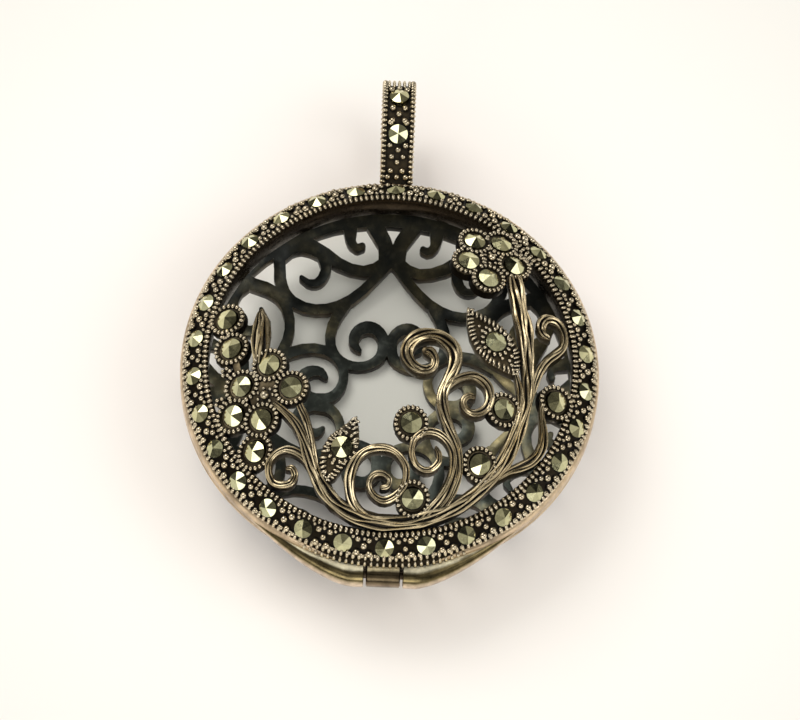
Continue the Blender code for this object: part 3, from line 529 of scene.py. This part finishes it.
def barrel_painted_light(name, tones):
    """Smooth silver of a knuckle with painted light: its tones, set by the way each spot faces, run from a
    pale painted floor reflection on the underside over a dark flank to a bright painted highlight on the
    crest.
    """
    made, tree, shader = node_material(name)
    lean = highlight_lean(tree)
    body = ramp(tree, lean, tuple(zip((0.40, 0.53, 0.63, 0.92, 0.975), tones)))
    streak = grey_ramp(tree, noise(tree, 0.9, 6.0, 0.7), (0.36, 0.55), (0.62, 1.25))
    tree.links.new(multiply(tree, body, streak), shader.inputs["Base Color"])
    # the crest turns less metallic, so its pale painted highlight shows
    tree.links.new(grey_ramp(tree, lean, (0.93, 0.95), (0.98, 0.45)), shader.inputs["Metallic"])
    shine = grey_ramp(tree, noise(tree, 1.2, 5.0, 0.7), (0.3, 0.14), (0.75, 0.30))
    tree.links.new(shine, shader.inputs["Roughness"])
    add_relief(tree, shader, noise(tree, 1.5, 5.0, 0.7), 0.25, 0.03)
    return made


def worn_and_highlit_edge(name):
    """The narrow rounded edges of the pierced back, where the black has rubbed off to grey metal, brightened
    further as a painted highlight.
    """
    made, tree, shader = node_material(name)
    tone = ramp(tree, noise(tree, 0.7, 5.0, 0.65), ((0.32, (0.07, 0.073, 0.065)), (0.50, (0.34, 0.33, 0.27)),
                                                    (0.66, (0.70, 0.65, 0.50))))
    tree.links.new(tone, shader.inputs["Base Color"])
    shader.inputs["Metallic"].default_value = 0.9
    tree.links.new(grey_ramp(tree, noise(tree, 1.5), (0.3, 0.22), (0.75, 0.40)), shader.inputs["Roughness"])
    return made


WARM_BLACK = (0.010, 0.0075, 0.005)
BROWN_BLACK = (0.10, 0.07, 0.045)
HIGHLIGHT_WAY = (0.0, 0.35, 0.937)  # way a knuckle faces where its painted highlight is brightest
# painted light on the knuckles: pale painted floor reflection on the underside, dark flank, bright painted
# highlight on the crest
LONG_KNUCKLE_LIGHT_TONES = ((0.68, 0.55, 0.42), (0.56, 0.45, 0.31), (0.20, 0.155, 0.07), (0.19, 0.15, 0.07),
                      (0.88, 0.80, 0.56))
MIDDLE_KNUCKLE_LIGHT_TONES = ((0.26, 0.20, 0.14), (0.18, 0.135, 0.085), (0.075, 0.055, 0.03), (0.12, 0.09, 0.05),
                        (0.66, 0.56, 0.34))
LOOKS = {
    "bead": antiqued("bead_silver", (0.80, 0.73, 0.58), WARM_BLACK, 0.30, 0.80, 0.14),
    "wire": antiqued("wire_silver", (0.70, 0.61, 0.42), WARM_BLACK, 0.32, 0.76, 0.17, 0.45),
    "wall": antiqued("wall_silver", (0.74, 0.61, 0.45), BROWN_BLACK, 0.60, 0.60, 0.30, 0.60, 0.45, 1.2),
    "knuckle": barrel_painted_light("knuckle_silver", LONG_KNUCKLE_LIGHT_TONES),
    "middle": barrel_painted_light("middle_silver", MIDDLE_KNUCKLE_LIGHT_TONES),
    "recess": antiqued("recess_silver", (0.026, 0.021, 0.014), (0.008, 0.006, 0.005), 0.5, 0.8, 0.35),
    "lining": antiqued("lining_silver", (0.075, 0.050, 0.028), (0.010, 0.007, 0.005), 0.8, 0.6, 0.16, 0.5),
    "plate": antiqued("plate_silver", (0.17, 0.14, 0.09), WARM_BLACK, 0.6, 0.90, 0.30),
    "marcasite": marcasite("marcasite_cut"),
    "oxidised": oxidised("oxidised_back"),
    "edge": worn_and_highlit_edge("worn_and_highlit_edge"),
}


# ---------------------------------------------------------------- front ring

def dome_arc(start, end, lift):
    """(radius, z) points that follow the dome, `lift` above it."""
    radii = [start + (end - start) * i / RING_FLOOR_STEPS for i in range(RING_FLOOR_STEPS + 1)]
    return [(radius, dome_height(radius) + lift) for radius in radii]


def build_ring_band():
    """The ring's side wall, seam edges and the body under the stones."""
    inner, outer = RING_INNER + 0.10, RING_OUTER - 0.08
    floor_in, floor_out = RING_FLOOR
    profile = [(inner, FRONT_SEAM_Z), (outer, FRONT_SEAM_Z), (RING_OUTER, FRONT_SEAM_Z + 0.08),
               (RING_OUTER, -1.35), (RING_OUTER - 0.03, -1.15), (16.00, -0.98), (15.88, -0.86),
               (15.66, -0.78)]
    profile += dome_arc(floor_out, floor_in, -0.12)
    profile += [(14.30, 0.34), (14.10, 0.40), (inner, 0.30)]
    band = Shape()
    add_turned(band, profile)
    band.finish("ring_band", "wall", ("front_ring",), 50)


def build_ring_lining():
    """The dark glossy inner wall of the ring."""
    behind = RING_INNER + 0.12
    lining = Shape()
    add_turned(lining, [(behind, FRONT_SEAM_Z), (behind, 0.28), (RING_INNER + 0.05, 0.36),
                        (RING_INNER, 0.26), (RING_INNER, -1.95), (RING_INNER + 0.04, FRONT_SEAM_Z)])
    lining.finish("ring_lining", "lining", sharp=60)


def build_ring_floor():
    """The dark ground between the ring's stones."""
    profile = [(15.90, -0.98), (15.76, -1.02), (15.60, -0.85), (14.36, 0.10), (14.0, 0.15),
               (RING_INNER + 0.02, 0.30), (14.08, 0.44), (14.30, 0.38)]
    floor = Shape()
    add_turned(floor, profile + dome_arc(*RING_FLOOR, -0.08) + [(15.80, -0.76)])
    floor.finish("ring_recess", "recess")


def ring_spot(angle, radius):
    """(x, y) on the ring, with the angle clockwise from the bail."""
    return radius * math.sin(angle), radius * math.cos(angle)


def build_milgrain(name, inner, outer, half_width, height, reach=math.pi):
    """Ribs across the ring's edge from one (radius, z) to another, within `reach` of the hinge."""
    ribs = Shape()
    for i in range(MILGRAIN_COUNT):
        angle = 2 * math.pi * (i + 0.5) / MILGRAIN_COUNT
        to_end = reach - abs(angle - math.pi)
        if to_end < 0:
            continue
        shrink = min(1.0, to_end / MILGRAIN_FADE) if reach < math.pi else 1.0
        outward = Vector((*ring_spot(angle, 1.0), 0.0))
        start = outward * inner[0] + UPWARD * inner[1]
        end = outward * outer[0] + UPWARD * outer[1]
        along = (end - start) * max(shrink, 0.3)
        normal = along.cross(outward.cross(UPWARD)).normalized()
        if normal.z < 0:
            normal = -normal
        size = random.uniform(0.88, 1.10)
        width = half_width * random.uniform(0.88, 1.10)
        place = frame_at(start + along / 2, normal, along)
        add_bead(ribs, place, along.length / 2 * size, width, height * size)
    ribs.finish(name, "bead")


def build_hinge_recess():
    """Dark ground behind the long ribs over the hinge, thinning out at both ends."""
    outermost = max(radius for radius, z in RECESS_PROFILE)
    lowest = min(z for radius, z in RECESS_PROFILE)
    rings = []
    for i in range(RECESS_STEPS + 1):
        angle = math.pi - RECESS_REACH + 2 * RECESS_REACH * i / RECESS_STEPS
        fade = max(0.0, 1 - min(i, RECESS_STEPS - i) / RECESS_FADE_STEPS)
        reach, depth = outermost - 0.3 * fade, lowest + 0.8 * fade
        rings.append([Vector((*ring_spot(angle, min(radius, reach)), max(z, depth)))
                      for radius, z in RECESS_PROFILE])
    recess = Shape()
    add_loft(recess, rings)
    recess.finish("hinge_recess", "recess")


def build_granules():
    """Round grains raised between the ring's stones."""
    grains = Shape()
    for i in range(RING_STONE_COUNT):
        middle = 2 * math.pi * (i + 0.5) / RING_STONE_COUNT
        for around, out, share in GRANULE_SPOTS:
            angle = middle + (around + random.uniform(-0.06, 0.06)) / RING_STONE_CIRCLE
            x, y = ring_spot(angle, RING_STONE_CIRCLE + out + random.uniform(-0.05, 0.05))
            size = GRANULE_RADIUS * share * random.uniform(0.82, 1.15)
            add_bead(grains, dome_frame(x, y, GRANULE_LIFT), size)
    grains.finish("ring_granules", "bead")


def build_ring():
    build_ring_band()
    build_ring_lining()
    build_ring_floor()
    build_milgrain("inner_milgrain", (13.92, 0.44), (14.44, 0.24), 0.15, 0.17)
    build_milgrain("outer_milgrain", (15.52, -0.42), (15.90, -0.94), 0.16, 0.19)
    build_milgrain("hinge_milgrain", (16.00, -0.86), (16.17, -1.68), 0.15, 0.17, math.radians(22))
    build_hinge_recess()
    build_granules()


# ---------------------------------------------------------------- stones

def add_stone(shape, place, radius, base, girdle, peak):
    """Round flat-backed stone with six flat facets that meet in a low point."""
    sides = STONE_FACETS * STONE_FACET_SIDES
    turn = random.uniform(0, 2 * math.pi)
    half_facet = math.pi / STONE_FACETS
    low, high = [], []
    for i in range(sides):
        angle = 2 * math.pi * i / sides
        from_middle = (angle + half_facet) % (2 * half_facet) - half_facet
        fall = (peak - girdle) * math.cos(from_middle)
        x, y = radius * math.cos(angle + turn), radius * math.sin(angle + turn)
        low.append(place @ Vector((x, y, base)))
        high.append(place @ Vector((x, y, peak - fall)))
    faces = [tuple(range(sides))[::-1]]
    for i in range(sides):
        j = (i + 1) % sides
        faces.append((i, j, sides + j, sides + i))
    half = STONE_FACET_SIDES // 2
    for facet in range(STONE_FACETS):
        middle = facet * STONE_FACET_SIDES
        rim = [sides + (middle + k) % sides for k in range(-half, half + 1)]
        faces.append((*rim, 2 * sides))
    shape.add(low + high + [place @ Vector((0, 0, peak))], faces)


def build_stone(node, place, radius, base, girdle, peak):
    """Stone in the place of a CAD stone, tipped a little in its setting."""
    tilt = Matrix.Rotation(math.radians(random.uniform(-5, 5)), 4, "X")
    tilt = tilt @ Matrix.Rotation(math.radians(random.uniform(-5, 5)), 4, "Y")
    shape = Shape()
    add_stone(shape, place @ tilt, radius, base, girdle, peak)
    shape.finish(node + "_cut", "marcasite", (node,), 8, slot="marcasite")


def seat_positions():
    """(kind, number, x, y) of every stone in the spray."""
    return [(kind, i, x, y) for kind, spots in SPRAY_STONES.items() for i, (x, y) in enumerate(spots, 1)]


def build_stones():
    for i in range(RING_STONE_COUNT):
        x, y = ring_spot(2 * math.pi * i / RING_STONE_COUNT, RING_STONE_CIRCLE)
        build_stone(f"ring_stone_{i + 1:02d}", dome_frame(x, y), RING_STONE_RADIUS, -0.2, 0.06, 0.42)
    for kind, i, x, y in seat_positions():
        build_stone(f"{kind}_{i}", dome_frame(x, y), PETAL_STONE_RADIUS, -0.2, 0.16, 0.58)
    for i, reach in enumerate(BAIL_STONE_REACH, 1):
        build_stone(f"bail_stone_{i}", bail_spot(reach), BAIL_STONE_RADIUS, -0.25, 0.08, 0.45)


# ---------------------------------------------------------------- flower spray

def build_cups():
    """Round cups under the spray's stones, beaded rims, flower hearts and small posts."""
    cups, beads = Shape(), Shape()
    seats = seat_positions()
    centres = [(x, y) for _, _, x, y in seats]
    placed = []
    for kind, _, x, y in seats:
        circle, count = LEAF_BEAD_CIRCLE, LEAF_BEADS
        if kind != "leaf_stone":
            circle, count = CUP_BEAD_CIRCLE, CUP_BEADS
            add_turned(cups, CUP_PROFILE, CUP_SIDES, dome_frame(x, y))
        others = [centre for centre in centres if centre != (x, y)]
        add_cup_rim(beads, x, y, circle, count, others, placed)
    for x, y, size in FLOWER_HEARTS:
        add_heart(beads, x, y, size, centres)
    for x, y in FILLERS:
        add_filler(cups, beads, x, y)
    cups.finish("stone_cups", "recess")
    beads.finish("cup_beads", "bead")


def near_any(x, y, points, distance):
    return any(math.hypot(x - px, y - py) < distance for px, py in points)


def add_cup_rim(beads, x, y, circle, count, others, placed):
    """Circle of beads round a stone, left out where they would meet another stone or an earlier bead."""
    for k in range(count):
        angle = 2 * math.pi * k / count
        bx, by = x + circle * math.cos(angle), y + circle * math.sin(angle)
        if near_any(bx, by, others, CUP_CROWDED) or near_any(bx, by, placed, 0.2):
            continue
        placed.append((bx, by))
        size = CUP_BEAD_RADIUS * random.uniform(0.9, 1.1)
        outward = Vector((math.cos(angle), math.sin(angle), 0.0))
        add_bead(beads, dome_frame(bx, by, 0.17, outward), size * 1.3, size * 0.95, size * 1.1)


def add_heart(beads, x, y, size, centres):
    """Grain in a flower's middle with small beads round it."""
    add_bead(beads, dome_frame(x, y, 0.25), size)
    for k in range(HEART_BEADS):
        angle = 2 * math.pi * k / HEART_BEADS
        px, py = x + (size + 0.22) * math.cos(angle), y + (size + 0.22) * math.sin(angle)
        if not near_any(px, py, centres, 0.95):
            add_bead(beads, dome_frame(px, py, 0.14), HEART_BEAD_RADIUS)


def add_filler(cups, beads, x, y):
    """Small post topped with grains."""
    add_turned(cups, FILLER_PROFILE, FILLER_SIDES, dome_frame(x, y))
    for k in range(FILLER_BEADS):
        angle = 2 * math.pi * k / FILLER_BEADS + x
        px, py = x + 0.30 * math.cos(angle), y + 0.30 * math.sin(angle)
        add_bead(beads, dome_frame(px, py, 0.16), random.uniform(0.13, 0.17))


def add_wire(shape, path, lane, lanes, seed):
    """One of several raised wires running side by side along a stem, wandering and swelling as it goes."""
    share = (lane + 0.5) / lanes - 0.5
    stations = []
    gone = 0.0
    for i, here in enumerate(path):
        before, after = path[max(i - 1, 0)], path[min(i + 1, len(path) - 1)]
        gone += (here - before).to_2d().length
        along = (after - before).to_2d().normalized()
        across = Vector((-along.y, along.x))
        sway = 0.075 * math.sin(gone * 0.9 + seed * 2.1) + 0.03 * math.sin(gone * 2.3 + seed * 4.7)
        crown = 0.15 * (1 - (2 * share) ** 2) + 0.07 * math.sin(gone * 1.3 + seed * 1.3)
        swell = 1 + 0.22 * math.sin(gone * 1.7 + seed * 3.7) + 0.10 * math.sin(gone * 4.1 + seed * 1.9)
        thick = here.z / lanes * 0.50 * swell
        ends = min(1.0, (i + 1) / 4, (len(path) - i) / 4)
        x, y = here.to_2d() + across * here.z * (share * 1.04 + sway)
        normal = dome_normal(x, y)
        side = across.to_3d()
        side = (side - normal * side.dot(normal)).normalized()
        centre = dome_point(x, y, SPRAY_TOP + here.z * crown)
        up = normal * thick * 1.5 * (0.3 + 0.7 * ends)
        stations.append((centre, side * thick * (0.4 + 0.6 * ends), up))
    add_sweep(shape, stations, WIRE_SIDES)


def build_stems():
    """Stems as bundles of three wires, or four where they are thick."""
    wires = Shape()
    for number, stem in enumerate(STEMS):
        path = smooth_path(stem)
        lanes = 4 if max(width for _, _, width in stem) > 0.9 else 3
        for lane in range(lanes):
            add_wire(wires, path, lane, lanes, number * 5 + lane)
    wires.finish("stem_wires", "wire")


def inside(x, y, outline):
    hit = False
    for (ax, ay), (bx, by) in zip(outline, outline[1:] + outline[:1]):
        if (ay > y) != (by > y) and x < (bx - ax) * (y - ay) / (by - ay) + ax:
            hit = not hit
    return hit


def add_leaf_ribs(shape, outline, centre, stone):
    """Slanting ribs along the leaf's edge."""
    for a, b in zip(outline, outline[1:] + outline[:1]):
        a, b = Vector(a), Vector(b)
        edge = (b - a).normalized()
        count = max(1, round((b - a).length / LEAF_RIB_PITCH))
        for k in range(count):
            spot = a.lerp(b, (k + 0.5) / count)
            inward = Vector((-edge.y, edge.x))
            if inward.dot(centre - spot) < 0:
                inward = -inward
            spot = spot + inward * 0.25
            if near_any(spot.x, spot.y, [stone], 0.95):
                continue
            slant = (inward + edge * 0.35).normalized().to_3d()
            add_bead(shape, dome_frame(spot.x, spot.y, SPRAY_TOP + 0.04, slant), 0.33, 0.115, 0.17)


def add_leaf_grains(shape, outline, centre, stone):
    """Grains over the leaf's middle, in rows that are shifted by half a step."""
    for row in range(-LEAF_ROWS, LEAF_ROWS + 1):
        for column in range(-LEAF_ROWS, LEAF_ROWS + 1):
            x = centre.x + (column + 0.5 * (row % 2)) * LEAF_GRAIN_STEP + random.uniform(-0.05, 0.05)
            y = centre.y + row * LEAF_GRAIN_STEP * 0.87 + random.uniform(-0.05, 0.05)
            corners = [(x + dx, y + dy) for dx in (-0.55, 0.55) for dy in (-0.55, 0.55)]
            if near_any(x, y, [stone], 1.25) or not all(inside(*corner, outline) for corner in corners):
                continue
            add_bead(shape, dome_frame(x, y, SPRAY_TOP + 0.02), 0.15 * random.uniform(0.85, 1.15))


def build_leaves():
    grains = Shape()
    for outline, stone in zip(LEAVES, SPRAY_STONES["leaf_stone"]):
        centre = Vector([sum(values) / len(outline) for values in zip(*outline)])
        add_leaf_ribs(grains, outline, centre, stone)
        add_leaf_grains(grains, outline, centre, stone)
    grains.finish("leaf_grains", "bead")


# ---------------------------------------------------------------- bail

def bail_tangent(foot, turn):
    """Angle where the line from a foot point touches the loop's outer circle."""
    way = foot - BAIL_CENTRE
    return math.atan2(way.y, way.x) + turn * math.acos(BAIL_RADIUS / way.length)


BAIL_FIRST = bail_tangent(BAIL_FOOT_TOP, -1)
BAIL_LAST = bail_tangent(BAIL_FOOT_BOTTOM, 1) - 2 * math.pi


def bail_track():
    """Outer centre line of the bail's strap as (spot, outward) in (y, z): foot, round the loop, foot."""
    loop_steps, top_steps, bottom_steps = 80, 16, 10
    loop = []
    for i in range(loop_steps + 1):
        angle = BAIL_FIRST + (BAIL_LAST - BAIL_FIRST) * i / loop_steps
        way = Vector((math.cos(angle), math.sin(angle)))
        loop.append((BAIL_CENTRE + way * BAIL_RADIUS, way))
    (first, first_way), (last, last_way) = loop[0], loop[-1]
    start = [(BAIL_FOOT_TOP.lerp(first, i / top_steps), first_way) for i in range(top_steps)]
    finish = [(last.lerp(BAIL_FOOT_BOTTOM, i / bottom_steps), last_way) for i in range(1, bottom_steps + 1)]
    return start + loop + finish


def bail_spot(reach, across=0.0, lift=0.0):
    """Frame `reach` millimetres along the strap from its straight part's start, towards the foot."""
    angle = BAIL_FIRST + min(reach, 0.0) / BAIL_RADIUS
    way = Vector((0.0, math.cos(angle), math.sin(angle)))
    down = Vector((0.0, -way.z, way.y))
    spot = Vector((across, *BAIL_CENTRE)) + way * (BAIL_RADIUS + lift) + down * max(reach, 0.0)
    return frame_at(spot, way, Vector((1.0, 0.0, 0.0)))


def mirrored(profile):
    return [(-x, depth) for x, depth in profile] + profile[::-1]


def build_bail_strap():
    """Dark channel between two rails, flaring a little where it meets the ring."""
    half = BAIL_WIDTH / 2
    section = mirrored([(half, -BAIL_THICKNESS), (half, -0.12), (half - 0.10, -0.03), (half - 0.30, -0.03),
                        (half - 0.34, -0.22)])
    rings = []
    for i, (spot, way) in enumerate(bail_track()):
        flare = 1 + 0.06 * max(0.0, 1 - i / 4)
        rings.append([Vector((x * flare, *(spot + way * depth))) for x, depth in section])
    strap = Shape()
    add_loft(strap, rings)
    strap.finish("bail_strap", "plate", ("bail",), 30)


def build_bail_skin():
    """Bright outer sides and inner face of the strap, just proud of its dark channel."""
    edge = BAIL_WIDTH / 2 + 0.015
    outer = mirrored([(edge, -0.16), (edge, -BAIL_THICKNESS - 0.015)])
    outline = outer + [(x * 0.985, depth * 0.975) for x, depth in outer[::-1]]
    skin = Shape()
    track = bail_track()[5:]
    add_loft(skin, [[Vector((x, *(spot + way * depth))) for x, depth in outline] for spot, way in track])
    skin.finish("bail_skin", "wall", sharp=30)


def build_bail_teeth():
    """Teeth along both edges and ribs over the loop's far end."""
    teeth = Shape()
    edge = BAIL_WIDTH / 2 - 0.13
    for side in (-1, 1):
        for i in range(*BAIL_TEETH):
            add_bead(teeth, bail_spot(i * BAIL_TOOTH_PITCH, side * edge, BAIL_SINK), 0.24, 0.15, 0.22)
    for row in range(BAIL_RIB_ROWS):
        for column in range(BAIL_RIBS_ACROSS):
            across = (column - BAIL_RIBS_ACROSS // 2) * BAIL_TOOTH_PITCH
            add_bead(teeth, bail_spot(-4.0 - 0.5 * row, across, BAIL_SINK), 0.14, 0.30, 0.22)
    teeth.finish("bail_milgrain", "bead")


def build_bail_grains():
    """Grains between and around the bail's two stones, placed from the stones' own places."""
    first, second = BAIL_STONE_REACH
    middle = (first + second) / 2
    spots = [(middle, 0.0)] + [(middle + a, b) for a in (-0.52, 0.52) for b in (-0.48, 0.48)]
    spots += [(second + a, b) for a in (-0.9, 0.9) for b in (-0.62, 0.62)]
    spots += [(second + a, b) for a, b in BAIL_FOOT_GRAINS]
    spots += [(first - 0.85, -0.6), (first - 0.85, 0.6), (first - 1.05, 0.0)]
    grains = Shape()
    for reach, across in spots:
        add_bead(grains, bail_spot(reach, across, BAIL_SINK), BAIL_GRAIN_RADIUS * random.uniform(0.9, 1.1))
    grains.finish("bail_grains", "bead")


def build_bail():
    build_bail_strap()
    build_bail_skin()
    build_bail_teeth()
    build_bail_grains()


# ---------------------------------------------------------------- hinge and back

def barrel_section(x):
    """How far in and up from the hinge axis a long knuckle's centre lies at |x|, and its radius there."""
    bend = max(0.0, (x - BARREL_STRAIGHT) / (BARREL_TIP - BARREL_STRAIGHT))
    return BARREL_INWARD * bend ** 1.5, BARREL_RISE * bend ** 1.3, KNUCKLE_RADIUS * (1 - 0.74 * bend ** 1.6)


def hinge_station(x, inward, upward, radius):
    centre = Vector((x, HINGE_Y + inward, HINGE_Z + upward))
    return centre, Vector((0.0, radius, 0.0)), Vector((0.0, 0.0, radius))


def build_knuckles():
    """Long outer knuckles that bend into the ring's wall, and the short one of the back between them."""
    barrels = Shape()
    start = BARREL_START + 0.05
    for side in (-1, 1):
        stations = [hinge_station(side * BARREL_START, 0.0, 0.0, KNUCKLE_RADIUS - 0.07)]
        for i in range(BARREL_STATIONS):
            x = start + (BARREL_TIP - start) * i / (BARREL_STATIONS - 1)
            stations.append(hinge_station(side * x, *barrel_section(x)))
        add_sweep(barrels, stations, KNUCKLE_SIDES)
    barrels.finish("long_knuckles", "knuckle", sharp=50)
    middle = Shape()
    half = CENTRE_KNUCKLE_HALF
    sizes = ((-half - 0.08, 0.80), (-half, 0.91), (0.0, 0.92), (half, 0.91), (half + 0.08, 0.80))
    add_sweep(middle, [hinge_station(x, 0.0, 0.0, radius) for x, radius in sizes], KNUCKLE_SIDES)
    middle.finish("middle_knuckle", "middle", ("centre_knuckle",), 50, "back_case")


def build_back_rim():
    rim = Shape()
    add_turned(rim, BACK_RIM_PROFILE)
    rim.finish("rim_wall", "wall", ("back_rim",), 60, "back_case")


def dress_cad_nodes():
    """CAD solids that stay: welded, softly bevelled and given their metal."""
    looks = {"pierced_back": ("oxidised", "edge"), "flower_spray": ("plate",), "hinge_pin": ("wall",),
             "catch_tongue": ("wall",)}
    for name, (look, *edge_look) in looks.items():
        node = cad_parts[name]
        node.data.materials.clear()
        for key in (look, *edge_look):
            node.data.materials.append(LOOKS[key])
        node.data.shade_smooth()
        weld = node.modifiers.new("weld", "WELD")
        weld.merge_threshold = 0.002 * MM
        bevel = node.modifiers.new("soft_edges", "BEVEL")
        bevel.width = (0.10 if edge_look else 0.07) * MM
        bevel.segments = 2
        bevel.limit_method = "ANGLE"
        bevel.angle_limit = math.radians(50)
        bevel.harden_normals = True
        # the bevel faces of the pierced back take the edge material with its painted highlight
        bevel.material = 1 if edge_look else -1


# ---------------------------------------------------------------- stage

def build_floor():
    """Pale floor with painted light that is a little darker far from the locket."""
    made, tree, shader = node_material("floor_paper")
    coordinates = tree.nodes.new("ShaderNodeTexCoord")
    length = tree.nodes.new("ShaderNodeVectorMath")
    length.operation = "LENGTH"
    tree.links.new(coordinates.outputs["Object"], length.inputs[0])
    far = math_node(tree, "MULTIPLY", length.outputs["Value"], 12.0, True)
    # painted light: the floor's tone changes with distance from the locket
    tone = ramp(tree, far, ((0.11, (0.84, 0.835, 0.75)), (0.2, (0.89, 0.84, 0.79)),
                            (0.3, (0.87, 0.83, 0.775)), (0.6, (0.735, 0.72, 0.665))))
    tree.links.new(tone, shader.inputs["Base Color"])
    shader.inputs["Roughness"].default_value = 0.8
    shader.inputs["Specular IOR Level"].default_value = 0.2
    place = (0.0, 0.0, -0.05 * MM)
    bpy.ops.mesh.primitive_grid_add(x_subdivisions=2, y_subdivisions=2, size=3.0, location=place)
    floor = bpy.context.object
    floor.name = "floor"
    floor.data.materials.append(made)


def soft_box(name, offset, size, power, colour=(1.0, 1.0, 1.0)):
    """Rectangular light `offset` metres from the locket's middle, aimed at it."""
    data = bpy.data.lights.new(name, "AREA")
    data.shape = "RECTANGLE"
    data.size, data.size_y = size
    data.energy = power
    data.color = colour
    light = bpy.data.objects.new(name, data)
    light.location = RING_CENTRE + Vector(offset)
    light.rotation_euler = (RING_CENTRE - light.location).to_track_quat("-Z", "Y").to_euler()
    bpy.context.scene.collection.objects.link(light)


def build_lights():
    soft_box("key", (-0.35, 0.35, 0.55), (0.46, 0.46), 2.2, (1.0, 0.985, 0.96))
    soft_box("fill", (0.45, -0.10, 0.40), (0.30, 0.40), 0.8)
    soft_box("front", (-0.10, -0.50, 0.22), (0.50, 0.20), 0.75)


def build_world():
    """Even white light for the floor; reflections see a dim room with broken bright and dark patches."""
    world = bpy.data.worlds.new("studio")
    bpy.context.scene.world = world
    world.use_nodes = True
    tree = world.node_tree
    background = tree.nodes["Background"]
    coordinates = tree.nodes.new("ShaderNodeTexCoord")
    patches = tree.nodes.new("ShaderNodeTexNoise")
    patches.inputs["Scale"].default_value = 2.6
    patches.inputs["Detail"].default_value = 2.0
    tree.links.new(coordinates.outputs["Generated"], patches.inputs["Vector"])
    room = ramp(tree, patches.outputs["Fac"], ((0.40, (0.008, 0.008, 0.008)), (0.48, (0.10, 0.095, 0.08)),
                                               (0.54, (0.40, 0.38, 0.34)), (0.64, (1.0, 0.97, 0.92))))
    path = tree.nodes.new("ShaderNodeLightPath")
    colour = mix_colour(tree, path.outputs["Is Glossy Ray"], (0.93, 0.92, 0.91), room)
    tree.links.new(colour, background.inputs["Color"])
    background.inputs["Strength"].default_value = 0.9


def build_camera():
    azimuth, elevation, roll = math.radians(-2.44), math.radians(65.36), math.radians(4.51)
    target = RING_CENTRE + Vector((0.72, 0.41, 0.0)) * MM
    flat = math.cos(elevation)
    back = Vector((math.sin(azimuth) * flat, -math.cos(azimuth) * flat, math.sin(elevation)))
    right = Vector((math.cos(azimuth), math.sin(azimuth), 0.0))
    x = right * math.cos(roll) + back.cross(right) * math.sin(roll)
    data = bpy.data.cameras.new("camera")
    data.sensor_width = 36.0
    data.lens = 176.355
    data.clip_start, data.clip_end = 0.01, 10.0
    camera = bpy.data.objects.new("camera", data)
    camera.matrix_world = frame_at(target + back * CAMERA_DISTANCE, back, x)
    bpy.context.scene.collection.objects.link(camera)
    bpy.context.scene.camera = camera


build_ring()
build_stones()
build_cups()
build_stems()
build_leaves()
build_bail()
build_knuckles()
build_back_rim()
dress_cad_nodes()
build_floor()
build_world()
build_lights()
build_camera()
bpy.context.scene.view_settings.view_transform = "Standard"
